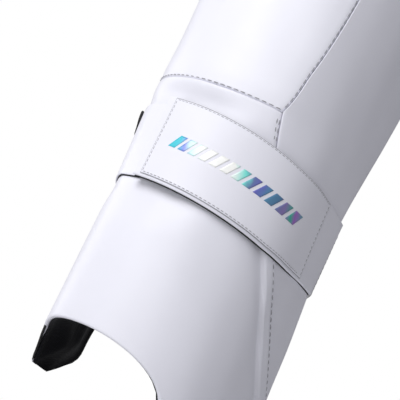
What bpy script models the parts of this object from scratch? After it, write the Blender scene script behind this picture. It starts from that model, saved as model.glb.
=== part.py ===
"""Cricket leg pad for a left leg: shin guard, knee section, top section and two wrap-round straps.

Metres, +Z up the shin. The pad stands on its two wings. -Y is the front of the leg and +X is the
outer side of the leg, where the larger wing is. A place on the pad is given by its girth, its
height and its inset. Girth is the angle round the leg from the front, in degrees, positive towards
the outer side; past 90 degrees the wings run straight back, RUN_PER_DEGREE for each degree.
"""

import math

import bmesh
import bpy
from mathutils import Vector

# ---- driving dimensions -----------------------------------------------------------------------
TOTAL_HEIGHT = 0.690
KNEE_HINGE_HEIGHT = 0.394
TOP_HINGE_HEIGHT = 0.548
LEG_AXIS_X = -0.0014
LEG_AXIS_Y = -0.0068

# Half width, front depth and shift of the section's centre, each against height.
HALF_WIDTH = [
    (0.00, 0.074), (0.15, 0.074), (0.23, 0.077), (0.32, 0.083),
    (0.39, 0.088), (0.475, 0.095), (0.58, 0.099), (0.69, 0.097),
]
FRONT_DEPTH = [
    (0.00, 0.076), (0.15, 0.077), (0.25, 0.081), (0.32, 0.086),
    (0.39, 0.090), (0.475, 0.096), (0.69, 0.090),
]
CENTRE_SHIFT = [
    (0.00, 0.002), (0.10, 0.000), (0.38, 0.000),
    (0.475, 0.010), (0.58, 0.031), (0.69, 0.058),
]
RUN_PER_DEGREE = 0.0013
WING_PINCH = 24.0

GAP = 0.0008
LINING_GAP = 0.0013
FACE_THICKNESS = 0.0020
UPPER_FOAM_THICKNESS = 0.0030
CORE_THICKNESS = 0.0090
LINING_THICKNESS = 0.0020
KNEE_CORE_THICKNESS = 0.0070
PLATE_THICKNESS = 0.0015
PLATE_ARC = 45.3
PLATE_LOW = 0.083
PLATE_HIGH = 0.364
PLATE_POCKET_DEPTH = 0.0026
BOLSTER_THICKNESS = 0.0100
PAD_THICKNESS = 0.0080
BINDING_WIDTH = 2.4
BINDING_GAP = 1.1
WALL = FACE_THICKNESS + GAP + CORE_THICKNESS + LINING_GAP + LINING_THICKNESS

ARCH_HEIGHT = 0.0295
ARCH_HALF_ANGLE = 57.0
ARCH_POWER = 2.1
OUTER_CORNER = 0.012
INNER_CORNER = 0.026
FOOT_TRIM = 0.0006

BAND_HEIGHT = 0.061
BAND_FRONT_MIDDLE = 0.1640
BAND_SLOPE = 0.00013
BAND_SLOPE_END = 78.0
BAND_END = -9.0
BAND_THICKNESS = 0.0032
BAND_LIFT = 0.0020
PATCH_START = -3.0
PATCH_END = 102.0
PATCH_MARGIN = 0.0022
PATCH_LIFT = 0.0016
PATCH_THICKNESS = 0.0012
BADGE_START = 13.0
BADGE_END = 84.0
BADGE_HEIGHT = 0.013
LOOP_HEIGHT = 0.057
LOOP_LIFT = 0.0027
LOOP_THICKNESS = 0.0018
CHANNEL_DEPTH = 0.0040
CHANNEL_LOW = 0.100
CHANNEL_FULL = 0.138
SEAM_HEIGHT = 0.2133
JUNCTION_HEIGHT = 0.2120
SEAM_GIRTH = 48.5
INNER_SEAM_GIRTH = -66.0
SWEEP_GAP = 0.5
SEAM_GAP = 0.0004
SEAM_GAP_ANGLE = 0.25

KNEE_STRAP_MIDDLE = 0.446
KNEE_STRAP_HEIGHT = 0.044
KNEE_REAR = 104.0
TOP_REAR = 100.0
WEDGE = 0.40
TOP_WEDGE = 0.18
WEDGE_REACH = 0.116
FLEX_GAP = 0.0030
ROLL_CROWN = 0.0060
CREST_FALL = 0.045
ROLL_THICKNESS = 0.0100
ROLL_FACE = 0.0022
ROLL_REACH = 62.0
ROLL_FILLING = ROLL_THICKNESS - ROLL_FACE - GAP
KNEE_CUP_THICKNESS = 0.0110
KNEE_BOLSTER_THICKNESS = 0.0120
TOP_CORE_START = 0.0028
TOP_CORE_THICKNESS = 0.0110
SECTION_WALL = ROLL_THICKNESS + GAP + KNEE_CORE_THICKNESS + GAP + LINING_THICKNESS

COLORS = {
    "white_face": ((0.86, 0.86, 0.90), 0.32, 0.0),
    "white_strap": ((0.84, 0.84, 0.88), 0.38, 0.0),
    "black_lining": ((0.012, 0.013, 0.016), 0.75, 0.0),
    "foam": ((0.62, 0.63, 0.66), 0.90, 0.0),
    "plate": ((0.35, 0.37, 0.40), 0.45, 0.0),
    "elastic": ((0.70, 0.70, 0.73), 0.85, 0.0),
    "hook_tape": ((0.02, 0.02, 0.022), 0.85, 0.0),
    "badge": ((0.55, 0.70, 0.80), 0.22, 0.6),
}


# ---- the form of the pad ----------------------------------------------------------------------
def mix(low, high, share):
    return low + (high - low) * share


def ease(value, start, end):
    """0 before start, 1 after end and a smooth S between."""
    share = min(max((value - start) / (end - start), 0.0), 1.0)
    return share * share * (3.0 - 2.0 * share)


def along(table, height):
    """A smooth curve through the table's points."""
    height = min(max(height, table[0][0]), table[-1][0])
    index = 0
    while index < len(table) - 2 and height > table[index + 1][0]:
        index += 1
    before = table[max(index - 1, 0)]
    start = table[index]
    end = table[index + 1]
    after = table[min(index + 2, len(table) - 1)]
    span = end[0] - start[0]
    share = (height - start[0]) / span
    slope_in = (end[1] - before[1]) / (end[0] - before[0]) * span
    slope_out = (after[1] - start[1]) / (after[0] - start[0]) * span
    square = share * share
    cube = square * share
    return (
        (2 * cube - 3 * square + 1) * start[1]
        + (cube - 2 * square + share) * slope_in
        + (3 * square - 2 * cube) * end[1]
        + (cube - square) * slope_out
    )


def on_pad(girth, height, inset):
    """The point at this girth and height, this far inside the pad's outer form."""
    width = along(HALF_WIDTH, height)
    depth = along(FRONT_DEPTH, height)
    shift = along(CENTRE_SHIFT, height)
    side = math.copysign(1.0, girth)
    angle = math.radians(min(abs(girth), 90.0))
    run = max(abs(girth) - 90.0, 0.0) * RUN_PER_DEGREE
    x = width * math.sin(angle) * (1.0 - WING_PINCH * run * run)
    y = shift - depth * math.cos(angle) + run
    if abs(girth) <= 90.0:
        out_x = math.sin(angle) / width
        out_y = -math.cos(angle) / depth
    else:
        out_x = 1.0
        out_y = 2.0 * width * WING_PINCH * run
    size = math.hypot(out_x, out_y)
    x -= out_x / size * inset
    y -= out_y / size * inset
    return Vector((LEG_AXIS_X + side * x, LEG_AXIS_Y + y, height))


def band_middle(girth):
    return BAND_FRONT_MIDDLE - BAND_SLOPE * min(max(girth - BAND_END, 0.0), BAND_SLOPE_END)


def arch(girth):
    """Lower edge: an arch over the instep between the two wings."""
    share = min(abs(girth) / ARCH_HALF_ANGLE, 1.0)
    return ARCH_HEIGHT * (1.0 - share**ARCH_POWER) ** (1.0 / ARCH_POWER)


def rounded_corner(height, radius):
    """Degrees by which a wing's lower rear corner is rounded off."""
    share = min(max(1.0 - height / radius, 0.0), 1.0)
    return share * share * radius / RUN_PER_DEGREE


def outer_rear(height):
    """Girth of the outer wing's rear edge: flared at the foot, drawn in at the strap."""
    flare = 17.0 * ease(height, 0.139, 0.009) + 8.0 * ease(height, 0.149, 0.309)
    return 126.5 + flare - rounded_corner(height, OUTER_CORNER)


def inner_rear(height):
    return -112.0 + 3.0 * ease(height, 0.090, 0.030) + rounded_corner(height, INNER_CORNER)


def cross_seam(girth):
    """Height of the stitched seam across the shin, just above the strap."""
    return SEAM_HEIGHT - 0.00010 * girth + 0.0000012 * girth * girth


def side_seam(height):
    """Girth of the seam up the outer side of the shin above the cross seam."""
    return SEAM_GIRTH + 11.5 * (1.0 - math.exp(-max(height - JUNCTION_HEIGHT, 0.0) / 0.042))


def sweep_seam(height):
    """Girth of the same seam below the cross seam, where it sweeps back to the wing's edge."""
    drop = max(JUNCTION_HEIGHT - height, 0.0)
    return SEAM_GIRTH + 212.0 * drop + 1910.0 * drop * drop


def face_channel(girth, height):
    """Depth of the shallow channel in the face under the strap."""
    seam = cross_seam(girth)
    rise = ease(height, CHANNEL_LOW, CHANNEL_FULL) * ease(height, seam - 0.001, seam - 0.013)
    return CHANNEL_DEPTH * rise * ease(abs(girth), 40.0, 12.0)


def core_channel(girth, height):
    """Extra inset of the foam core, which clears the channel and the raised panel's own foam."""
    return CHANNEL_DEPTH * ease(height, 0.074, 0.124) * ease(abs(girth + 2.0), 84.0, 68.5)


def wedge_below(hinge, slope, reach, gap):
    """Top edge of a section under a hinge: it falls away towards the rear, to leave room to bend."""

    def edge(girth, inset):
        front = on_pad(0.0, hinge, 0.0).y
        back = min(max(on_pad(girth, hinge - 0.02, inset).y - front - 0.010, 0.0), reach)
        return hinge - gap - slope * back

    return edge


def wedge_above(hinge, slope, reach, gap):
    """Bottom edge of a section over a hinge."""

    def edge(girth, inset):
        front = on_pad(0.0, hinge, 0.0).y
        back = min(max(on_pad(girth, hinge + 0.02, inset).y - front - 0.010, 0.0), reach)
        return hinge + gap + slope * back

    return edge


shin_top = wedge_below(KNEE_HINGE_HEIGHT, WEDGE, WEDGE_REACH, FLEX_GAP)
knee_bottom = wedge_above(KNEE_HINGE_HEIGHT, 0.0, WEDGE_REACH, FLEX_GAP)
knee_top = wedge_below(TOP_HINGE_HEIGHT, TOP_WEDGE, WEDGE_REACH, FLEX_GAP)
top_bottom = wedge_above(TOP_HINGE_HEIGHT, TOP_WEDGE, WEDGE_REACH, FLEX_GAP)


# ---- tools ------------------------------------------------------------------------------------
def clear_scene():
    for obj in list(bpy.data.objects):
        bpy.data.objects.remove(obj, do_unlink=True)


def new_collection(name):
    collection = bpy.data.collections.new(name)
    bpy.context.scene.collection.children.link(collection)
    return collection


def make_material(name):
    color, roughness, metallic = COLORS[name]
    material = bpy.data.materials.new(name)
    material.use_nodes = True
    material.diffuse_color = (*color, 1.0)
    shader = material.node_tree.nodes["Principled BSDF"]
    shader.inputs["Base Color"].default_value = (*color, 1.0)
    shader.inputs["Roughness"].default_value = roughness
    shader.inputs["Metallic"].default_value = metallic
    return material


def crossing(edge, left, right, share, low=-0.02, high=0.75):
    """Height at which the column at this share of the way across meets the edge."""
    for _ in range(44):
        middle = 0.5 * (low + high)
        if middle < edge(mix(left(middle), right(middle), share)):
            low = middle
        else:
            high = middle
    return 0.5 * (low + high)


def grid_object(name, material, columns, rows, place, thickness, collection, parent):
    """A bent grid: place(s, t) gives each point, and Solidify makes it a closed sheet going inwards."""
    mesh = bpy.data.meshes.new(name)
    shape = bmesh.new()
    bmesh.ops.create_grid(shape, x_segments=columns, y_segments=rows, size=0.5)
    for vertex in shape.verts:
        column = round((vertex.co.x + 0.5) * columns)
        row = round((vertex.co.y + 0.5) * rows)
        vertex.co = place(column, row)
    shape.to_mesh(mesh)
    shape.free()
    mesh.materials.append(MATERIALS[material])
    mesh.shade_smooth()
    obj = bpy.data.objects.new(name, mesh)
    collection.objects.link(obj)
    solid = obj.modifiers.new("thickness", "SOLIDIFY")
    solid.thickness = thickness
    solid.offset = -1.0
    solid.use_even_offset = False
    join(obj, parent)
    return obj


def join(obj, parent):
    """Keeps the object where it is and hangs it on the parent empty, whose place is the joint's axis."""
    if parent is not None:
        obj.parent = parent
        obj.matrix_parent_inverse = parent.matrix_world.inverted()


def shares(count):
    return [index / count for index in range(count + 1)]


def panel(
    name, material, left, right, bottom, top, inset, thickness, columns, rows,
    parent=None, collection=None, foot=1,
):
    """A sheet of the pad between two side edges, a bottom and a top, at an inset from the outer form.

    rows is either a count or a list of the heights between the bottom and the top. foot is the number
    of steps from the bottom to the first of those heights.
    """
    steps = shares(columns)
    lows = [crossing(bottom, left, right, share) for share in steps]
    highs = [crossing(top, left, right, share) for share in steps]
    count = rows if isinstance(rows, int) else len(rows) + foot

    def place(column, row):
        low = lows[column]
        high = highs[column]
        if isinstance(rows, int):
            height = mix(low, high, row / count)
        else:
            risers = [mix(low, rows[0], step / foot) for step in range(foot)]
            height = (*risers, *rows, high)[row]
        girth = mix(left(height), right(height), steps[column])
        return on_pad(girth, height, inset(girth, height))

    return grid_object(name, material, columns, count, place, thickness, collection or PAD, parent)


def constant(value):
    return lambda *place: value


def joint_empty(name, x, y, height):
    empty = bpy.data.objects.new(name, None)
    empty.location = (x, y, height)
    empty.empty_display_size = 0.03
    PAD.objects.link(empty)
    bpy.context.view_layer.update()
    return empty


def cut(obj, cutter):
    cutter.hide_render = True
    cutter.display_type = "WIRE"
    boolean = obj.modifiers.new("cut", "BOOLEAN")
    boolean.operation = "DIFFERENCE"
    boolean.solver = "EXACT"
    boolean.object = cutter


# ---- shin section -----------------------------------------------------------------------------
def shin_edge(inset):
    return lambda girth: shin_top(girth, inset)


def build_shin_faces():
    face_rows = [0.034, 0.044, 0.056, 0.070, 0.086, 0.100, 0.118, 0.138, 0.168, 0.196, 0.206]
    panel(
        "shin_face_lower", "white_face",
        constant(INNER_SEAM_GIRTH + SEAM_GAP_ANGLE),
        lambda height: min(sweep_seam(height) - SWEEP_GAP, outer_rear(height)),
        lambda girth: arch(girth) + FOOT_TRIM, lambda girth: cross_seam(girth) - SEAM_GAP,
        face_channel, FACE_THICKNESS, 18, face_rows,
    )
    panel(
        "shin_face_upper", "white_face",
        constant(INNER_SEAM_GIRTH + SEAM_GAP_ANGLE), lambda height: side_seam(height) - SEAM_GAP_ANGLE,
        lambda girth: cross_seam(girth) + SEAM_GAP, shin_edge(0.0),
        constant(0.0), FACE_THICKNESS, 12, 5,
    )
    panel(
        "shin_panel_foam", "foam",
        constant(INNER_SEAM_GIRTH + 1.5), lambda height: side_seam(height) - 1.5,
        lambda girth: cross_seam(girth) + 0.002, lambda girth: shin_edge(0.0)(girth) - 0.002,
        constant(FACE_THICKNESS + GAP), UPPER_FOAM_THICKNESS, 12, 5,
    )
    panel(
        "outer_wing_face", "white_face",
        lambda height: side_seam(height) + SEAM_GAP_ANGLE, outer_rear,
        wing_foot, shin_edge(0.0),
        constant(0.0), FACE_THICKNESS, 14, 8,
    )
    panel(
        "inner_wing_face", "white_face",
        inner_rear, constant(INNER_SEAM_GIRTH - SEAM_GAP_ANGLE),
        constant(FOOT_TRIM), shin_edge(0.0),
        constant(0.0), FACE_THICKNESS, 5, 9,
    )


def wing_foot(girth):
    """Lower edge of the outer wing's face, along the sweeping seam."""
    low = 0.0
    high = JUNCTION_HEIGHT
    for _ in range(30):
        middle = 0.5 * (low + high)
        if sweep_seam(middle) + SWEEP_GAP > girth:
            low = middle
        else:
            high = middle
    return 0.5 * (low + high)


def core_inset(girth, height):
    return FACE_THICKNESS + GAP + core_channel(girth, height)


def lining_inset(girth, height):
    return core_inset(girth, height) + CORE_THICKNESS + LINING_GAP


def build_shin_core():
    rows = [0.033, 0.074, 0.099, 0.124, 0.180, 0.240, 0.300]
    core_top = shin_edge(core_inset(0.0, PLATE_HIGH) + 0.5 * CORE_THICKNESS)
    lining_top = shin_edge(lining_inset(0.0, PLATE_HIGH))
    core = panel(
        "shin_foam_core", "foam",
        inner_rear, outer_rear, lambda girth: arch(girth) - FOOT_TRIM * ease(abs(girth), 48.0, 57.0),
        core_top, core_inset, CORE_THICKNESS, 25, rows, foot=3,
    )
    bpy.ops.mesh.primitive_cube_add(size=1.0, location=(0.0, 0.0, -0.05))
    floor = bpy.context.active_object
    floor.name = "floor_trim"
    floor.scale = (0.4, 0.4, 0.1)
    CUTTERS.objects.link(floor)
    for other in list(floor.users_collection):
        if other != CUTTERS:
            other.objects.unlink(floor)
    cut(core, floor)

    def pocket_inset(girth, height):
        return core_inset(girth, height) + CORE_THICKNESS - PLATE_POCKET_DEPTH

    def plate_inset(girth, height):
        return pocket_inset(girth, height) + 0.0005

    pocket = panel(
        "plate_pocket", "foam",
        constant(-PLATE_ARC - 0.7), constant(PLATE_ARC + 0.7),
        constant(PLATE_LOW - 0.002), constant(PLATE_HIGH + 0.002),
        pocket_inset, 0.0060, 8, 6, collection=CUTTERS,
    )
    cut(core, pocket)
    panel(
        "shin_stiffener_plate", "plate",
        constant(-PLATE_ARC), constant(PLATE_ARC), constant(PLATE_LOW), constant(PLATE_HIGH),
        plate_inset, PLATE_THICKNESS, 8, 6,
    )
    panel(
        "shin_lining", "black_lining",
        inner_rear, outer_rear, lambda girth: arch(girth) + SEAM_GAP, lining_top,
        lining_inset, LINING_THICKNESS, 25, rows, foot=3,
    )


def build_shin_pads():
    def on_lining(extra):
        return lambda girth, height: lining_inset(girth, height) + LINING_THICKNESS + extra

    for name, start, end in (("inner_shin_bolster", -84.0, -54.0), ("outer_shin_bolster", 54.0, 84.0)):
        panel(
            name, "black_lining", constant(start), constant(end), constant(0.090), constant(0.330),
            on_lining(2.5 * GAP), BOLSTER_THICKNESS, 4, 6,
        )
    panel(
        "shin_comfort_pad", "black_lining", constant(-26.0), constant(26.0), constant(0.115), constant(0.345),
        on_lining(GAP), PAD_THICKNESS, 5, 6,
    )
    panel(
        "instep_pad", "black_lining", constant(-36.0), constant(36.0), constant(0.040), constant(0.088),
        on_lining(GAP), PAD_THICKNESS, 6, 2,
    )


def binding(name, rear, low, top, body_wall, parent=None, rows=14):
    """The bound rear edge, a narrow strip that closes face, foam and lining."""
    side = math.copysign(1.0, rear(0.3))

    def near(height):
        return rear(height) + side * BINDING_GAP

    def far(height):
        return rear(height) + side * (BINDING_GAP + BINDING_WIDTH)

    left, right = (near, far) if side > 0.0 else (far, near)
    panel(name, "white_face", left, right, constant(low), top, constant(0.0), body_wall, 1, rows, parent)


# ---- straps -----------------------------------------------------------------------------------
def band_edges(height):
    """Bottom and top edge functions of a strap of this height centred on the band's middle line."""

    def bottom(girth):
        return band_middle(girth) - 0.5 * height

    def top(girth):
        return band_middle(girth) + 0.5 * height

    return bottom, top


def level_edges(middle, height):
    return constant(middle - 0.5 * height), constant(middle + 0.5 * height)


def arc_strip(
    name, material, start, end, bulge, middle, height, offset, thickness, shares_used, columns, parent,
):
    """A strip standing on edge that follows an arc from start to end, bulging to the rear."""
    chord = end - start
    length = chord.length
    across = Vector((-chord.y, chord.x, 0.0)) / length
    radius = (0.25 * length * length + bulge * bulge) / (2.0 * bulge)
    centre = start + chord * 0.5 + across * (bulge - radius)
    half_angle = math.asin(min(0.5 * length / radius, 1.0))
    if bulge > radius:
        half_angle = math.pi - half_angle
    first, last = shares_used

    def place(column, row):
        angle = half_angle * (1.0 - 2.0 * mix(last, first, column / columns))
        direction = across * math.cos(angle) - chord / length * math.sin(angle)
        point = centre + direction * (radius + offset)
        return Vector((point.x, point.y, middle + height * (row - 0.5)))

    return grid_object(name, material, columns, 1, place, thickness, PAD, parent)


def rear_strap(prefix, inner, outer, level, height, bulge, lift, parent):
    """The elastic and its pad behind the leg, and the two joint empties that they and the band hang on."""
    start = on_pad(inner, level, -0.0020)
    end = on_pad(outer, level, -lift)
    swing = joint_empty(prefix + "_swing_axis", start.x, start.y, level)
    join(swing, parent)
    opening = joint_empty(prefix + "_band_axis", end.x, end.y, level)
    join(opening, swing)
    bpy.context.view_layer.update()
    start.z = 0.0
    end.z = 0.0
    arc_strip(
        prefix + "_rear_elastic", "elastic", start, end, bulge, level, height,
        0.0, 0.0022, (0.012, 0.984), 12, swing,
    )
    arc_strip(
        prefix + "_rear_pad", "black_lining", start, end, bulge, level, height + 0.012,
        -0.0030, 0.0070, (0.22, 0.78), 8, swing,
    )
    return swing, opening


def build_calf_strap():
    inner = inner_rear(0.16) - 3.2
    outer = outer_rear(0.16) + 3.4
    opening = rear_strap("calf", inner, outer, band_middle(100.0), 0.050, 0.052, 0.0034, None)[1]
    bottom, top = band_edges(LOOP_HEIGHT)
    panel(
        "calf_loop_strap", "white_strap", constant(inner + 0.6), constant(26.0), bottom, top,
        lambda girth, height: face_channel(girth, height) - LOOP_LIFT, LOOP_THICKNESS, 14, 2,
    )
    bottom, top = band_edges(BAND_HEIGHT)
    outside = -BAND_LIFT - BAND_THICKNESS
    panel(
        "calf_band", "white_strap", constant(BAND_END), constant(outer - 0.4), bottom, top,
        constant(outside), BAND_THICKNESS, 14, 1, opening,
    )
    bottom, top = band_edges(BAND_HEIGHT - 2.0 * PATCH_MARGIN)
    panel(
        "calf_band_patch", "white_strap", constant(PATCH_START), constant(PATCH_END), bottom, top,
        constant(outside - PATCH_LIFT), PATCH_THICKNESS, 12, 1, opening,
    )
    bottom, top = band_edges(BADGE_HEIGHT)
    panel(
        "calf_band_badge", "badge", constant(BADGE_START), constant(BADGE_END), bottom, top,
        constant(outside - PATCH_LIFT - 0.0008), 0.0004, 8, 1, opening,
    )
    bottom, top = band_edges(BAND_HEIGHT - 0.014)
    panel(
        "calf_hook_tape", "hook_tape", constant(BAND_END + 3.0), constant(22.0), bottom, top,
        constant(-BAND_LIFT + 0.0004), 0.0016, 3, 1, opening,
    )


def build_knee_strap(knee):
    outer = KNEE_REAR + 3.4
    inner = -KNEE_REAR - 3.8
    opening = rear_strap("knee", inner, outer, KNEE_STRAP_MIDDLE, 0.038, 0.080, 0.0058, knee)[1]
    bottom, top = level_edges(KNEE_STRAP_MIDDLE, KNEE_STRAP_HEIGHT - 0.006)
    panel(
        "knee_loop_panel", "white_strap", constant(66.0), constant(92.0), bottom, top,
        constant(-LOOP_LIFT), LOOP_THICKNESS, 3, 1, knee,
    )
    panel(
        "knee_anchor_tab", "white_strap", constant(-KNEE_REAR - 2.6), constant(-82.0), bottom, top,
        constant(-LOOP_LIFT), LOOP_THICKNESS, 3, 1, knee,
    )
    panel(
        "knee_hook_tape", "hook_tape", constant(64.0), constant(90.0), bottom, top,
        constant(-LOOP_LIFT - 0.0016), 0.0012, 3, 1, opening,
    )
    bottom, top = level_edges(KNEE_STRAP_MIDDLE, KNEE_STRAP_HEIGHT)
    panel(
        "knee_band", "white_strap", constant(60.0), constant(outer - 0.4), bottom, top,
        constant(-LOOP_LIFT - 0.0020 - 0.0026), 0.0026, 6, 1, opening,
    )


# ---- knee and top sections --------------------------------------------------------------------
def knee_edge(edge, inset):
    return lambda girth: edge(girth, inset)


def roll_inset(low, high):
    """A knee roll is crowned between its two valleys and runs out flat at its ends."""

    def inset(girth, height):
        share = min(max((height - low) / (high - low), 0.0), 1.0)
        run_out = ease(abs(girth), ROLL_REACH, ROLL_REACH - 16.0)
        return -ROLL_CROWN * math.sqrt(4.0 * share * (1.0 - share)) * run_out

    return inset


def filling_inset(low, high):
    return lambda girth, height: roll_inset(low, high)(girth, height) + ROLL_FACE + GAP


def build_knee(knee):
    seam = 0.0005
    names = ("knee_roll_lower", "knee_roll_middle", "knee_roll_upper")
    rise = (TOP_HINGE_HEIGHT - KNEE_HINGE_HEIGHT - 2.0 * FLEX_GAP) / len(names)
    for index, name in enumerate(names):
        low = KNEE_HINGE_HEIGHT + FLEX_GAP + index * rise
        high = low + rise
        bottom = constant(low + seam) if index else knee_edge(knee_bottom, 0.0)
        top = constant(high - seam) if index < 2 else knee_edge(knee_top, 0.0)
        rows = [low + rise * 0.10, low + rise * 0.32, low + rise * 0.68, low + rise * 0.86]
        if index == 2:
            rows = 4
        panel(
            name, "white_face", constant(-ROLL_REACH), constant(ROLL_REACH), bottom, top,
            roll_inset(low, high), ROLL_FACE, 14, rows, knee,
        )
        panel(
            name + "_foam", "foam", constant(-ROLL_REACH), constant(ROLL_REACH), bottom, top,
            filling_inset(low, high), ROLL_FILLING, 14, rows, knee,
        )
    sides = (
        ("outer_knee_side", ROLL_REACH + 1.0, KNEE_REAR),
        ("inner_knee_side", -KNEE_REAR, -ROLL_REACH - 1.0),
    )
    for name, start, end in sides:
        panel(
            name, "white_face", constant(start), constant(end),
            knee_edge(knee_bottom, 0.0), knee_edge(knee_top, 0.0), constant(0.0), ROLL_FACE, 5, 4, knee,
        )
        panel(
            name + "_foam", "foam", constant(start), constant(end),
            knee_edge(knee_bottom, 0.0), knee_edge(knee_top, 0.0),
            constant(ROLL_FACE + GAP), ROLL_FILLING, 5, 4, knee,
        )
    core_start = ROLL_THICKNESS + GAP
    lining_start = core_start + KNEE_CORE_THICKNESS + GAP
    panel(
        "knee_foam_core", "foam", constant(-KNEE_REAR), constant(KNEE_REAR),
        knee_edge(knee_bottom, core_start), knee_edge(knee_top, lining_start),
        constant(core_start), KNEE_CORE_THICKNESS, 18, 5, knee,
    )
    panel(
        "knee_lining", "black_lining", constant(-KNEE_REAR), constant(KNEE_REAR),
        knee_edge(knee_bottom, core_start), knee_edge(knee_top, lining_start + 0.002),
        constant(lining_start), LINING_THICKNESS, 18, 5, knee,
    )
    cup_start = SECTION_WALL + GAP
    panel(
        "knee_cup_pad", "black_lining", constant(-38.0), constant(38.0), constant(0.418), constant(0.518),
        constant(cup_start), KNEE_CUP_THICKNESS, 6, 4, knee,
    )
    for name, start, end in (("inner_knee_bolster", -80.0, -46.0), ("outer_knee_bolster", 46.0, 80.0)):
        panel(
            name, "black_lining", constant(start), constant(end), constant(0.418), constant(0.503),
            constant(cup_start), KNEE_BOLSTER_THICKNESS, 4, 3, knee,
        )
    for name, side in (("inner_knee_binding", -1.0), ("outer_knee_binding", 1.0)):
        near = side * (KNEE_REAR + BINDING_GAP)
        far = side * (KNEE_REAR + BINDING_GAP + BINDING_WIDTH)
        panel(
            name, "white_face", constant(min(near, far)), constant(max(near, far)),
            knee_edge(knee_bottom, 0.0), knee_edge(knee_top, 0.0), constant(0.0), SECTION_WALL, 1, 4, knee,
        )


def crest(girth):
    """Upper edge of the pad, highest at the front."""
    return TOTAL_HEIGHT - CREST_FALL * (abs(girth) / TOP_REAR) ** 3


def low_crest(girth):
    """Upper edge of the layers inside the face."""
    return crest(girth) - GAP


def build_top(top_section):
    plate_start = TOP_CORE_START + TOP_CORE_THICKNESS + GAP
    lining_start = plate_start + PLATE_THICKNESS + GAP
    rear = constant(TOP_REAR)
    front = constant(-TOP_REAR)
    low = knee_edge(top_bottom, lining_start)
    panel(
        "top_face", "white_face", front, rear, knee_edge(top_bottom, 0.0), crest,
        constant(0.0), FACE_THICKNESS, 20, 5, top_section,
    )
    panel(
        "top_foam_core", "foam", front, rear, low, low_crest,
        constant(TOP_CORE_START), TOP_CORE_THICKNESS, 20, 5, top_section,
    )
    panel(
        "top_stiffener_plate", "plate", constant(-44.0), constant(44.0), constant(0.570), constant(0.664),
        constant(plate_start), PLATE_THICKNESS, 8, 4, top_section,
    )
    panel(
        "top_lining", "black_lining", front, rear, low, low_crest,
        constant(lining_start), LINING_THICKNESS, 20, 5, top_section,
    )
    panel(
        "top_comfort_pad", "black_lining",
        constant(-40.0), constant(40.0), constant(0.578), constant(0.656),
        constant(lining_start + LINING_THICKNESS + GAP), PAD_THICKNESS, 7, 3, top_section,
    )
    wall = lining_start + LINING_THICKNESS
    end = constant(TOTAL_HEIGHT - CREST_FALL - 0.001)
    for name, side in (("inner_top_binding", -1.0), ("outer_top_binding", 1.0)):
        near = side * (TOP_REAR + BINDING_GAP)
        far = side * (TOP_REAR + BINDING_GAP + BINDING_WIDTH)
        panel(
            name, "white_face", constant(min(near, far)), constant(max(near, far)),
            knee_edge(top_bottom, 0.0), end, constant(0.0), wall, 1, 4, top_section,
        )


def main():
    build_shin_faces()
    build_shin_core()
    build_shin_pads()
    binding("outer_wing_binding", outer_rear, 0.020, knee_edge(shin_top, 0.0), WALL)
    binding("inner_wing_binding", inner_rear, 0.020, knee_edge(shin_top, 0.0), WALL)
    front = on_pad(0.0, KNEE_HINGE_HEIGHT, 0.0)
    knee = joint_empty("knee_hinge_axis", front.x, front.y, KNEE_HINGE_HEIGHT)
    front = on_pad(0.0, TOP_HINGE_HEIGHT, 0.0)
    top_section = joint_empty("top_hinge_axis", front.x, front.y, TOP_HINGE_HEIGHT)
    join(top_section, knee)
    bpy.context.view_layer.update()
    build_knee(knee)
    build_top(top_section)
    build_calf_strap()
    build_knee_strap(knee)


clear_scene()
PAD = new_collection("cricket_leg_pad")
CUTTERS = new_collection("cutters")
MATERIALS = {name: make_material(name) for name in COLORS}
main()
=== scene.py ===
"""Looks of the cricket leg pad: moulded white shells, stitched straps and black padded lining.

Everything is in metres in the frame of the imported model: +Z up the shin, -Y the front, +X the outer
side. A place on the pad is its girth (degrees round the leg from the front), its height and its inset
from the outer form, as in the model itself. Most pieces are slabs: an outer and an inner grid laid
out between four edges, closed at the rim and rounded where they end.
"""

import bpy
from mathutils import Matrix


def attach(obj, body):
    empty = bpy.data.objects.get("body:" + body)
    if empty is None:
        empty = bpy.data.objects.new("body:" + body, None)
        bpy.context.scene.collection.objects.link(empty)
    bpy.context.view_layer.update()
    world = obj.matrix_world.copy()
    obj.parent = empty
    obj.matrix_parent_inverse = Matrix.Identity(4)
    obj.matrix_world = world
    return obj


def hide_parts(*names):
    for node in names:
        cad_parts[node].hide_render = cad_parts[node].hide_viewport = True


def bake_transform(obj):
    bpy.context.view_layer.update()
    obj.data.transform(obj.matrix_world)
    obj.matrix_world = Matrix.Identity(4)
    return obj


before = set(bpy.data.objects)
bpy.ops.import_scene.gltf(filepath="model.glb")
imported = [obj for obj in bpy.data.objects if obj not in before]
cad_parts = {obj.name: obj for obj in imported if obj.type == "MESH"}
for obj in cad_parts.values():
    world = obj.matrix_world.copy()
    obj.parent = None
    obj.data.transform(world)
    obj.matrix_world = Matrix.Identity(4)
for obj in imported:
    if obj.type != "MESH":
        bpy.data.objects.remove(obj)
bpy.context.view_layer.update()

import math

import bmesh
import bpy
import numpy as np
from mathutils import Matrix, Vector

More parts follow.
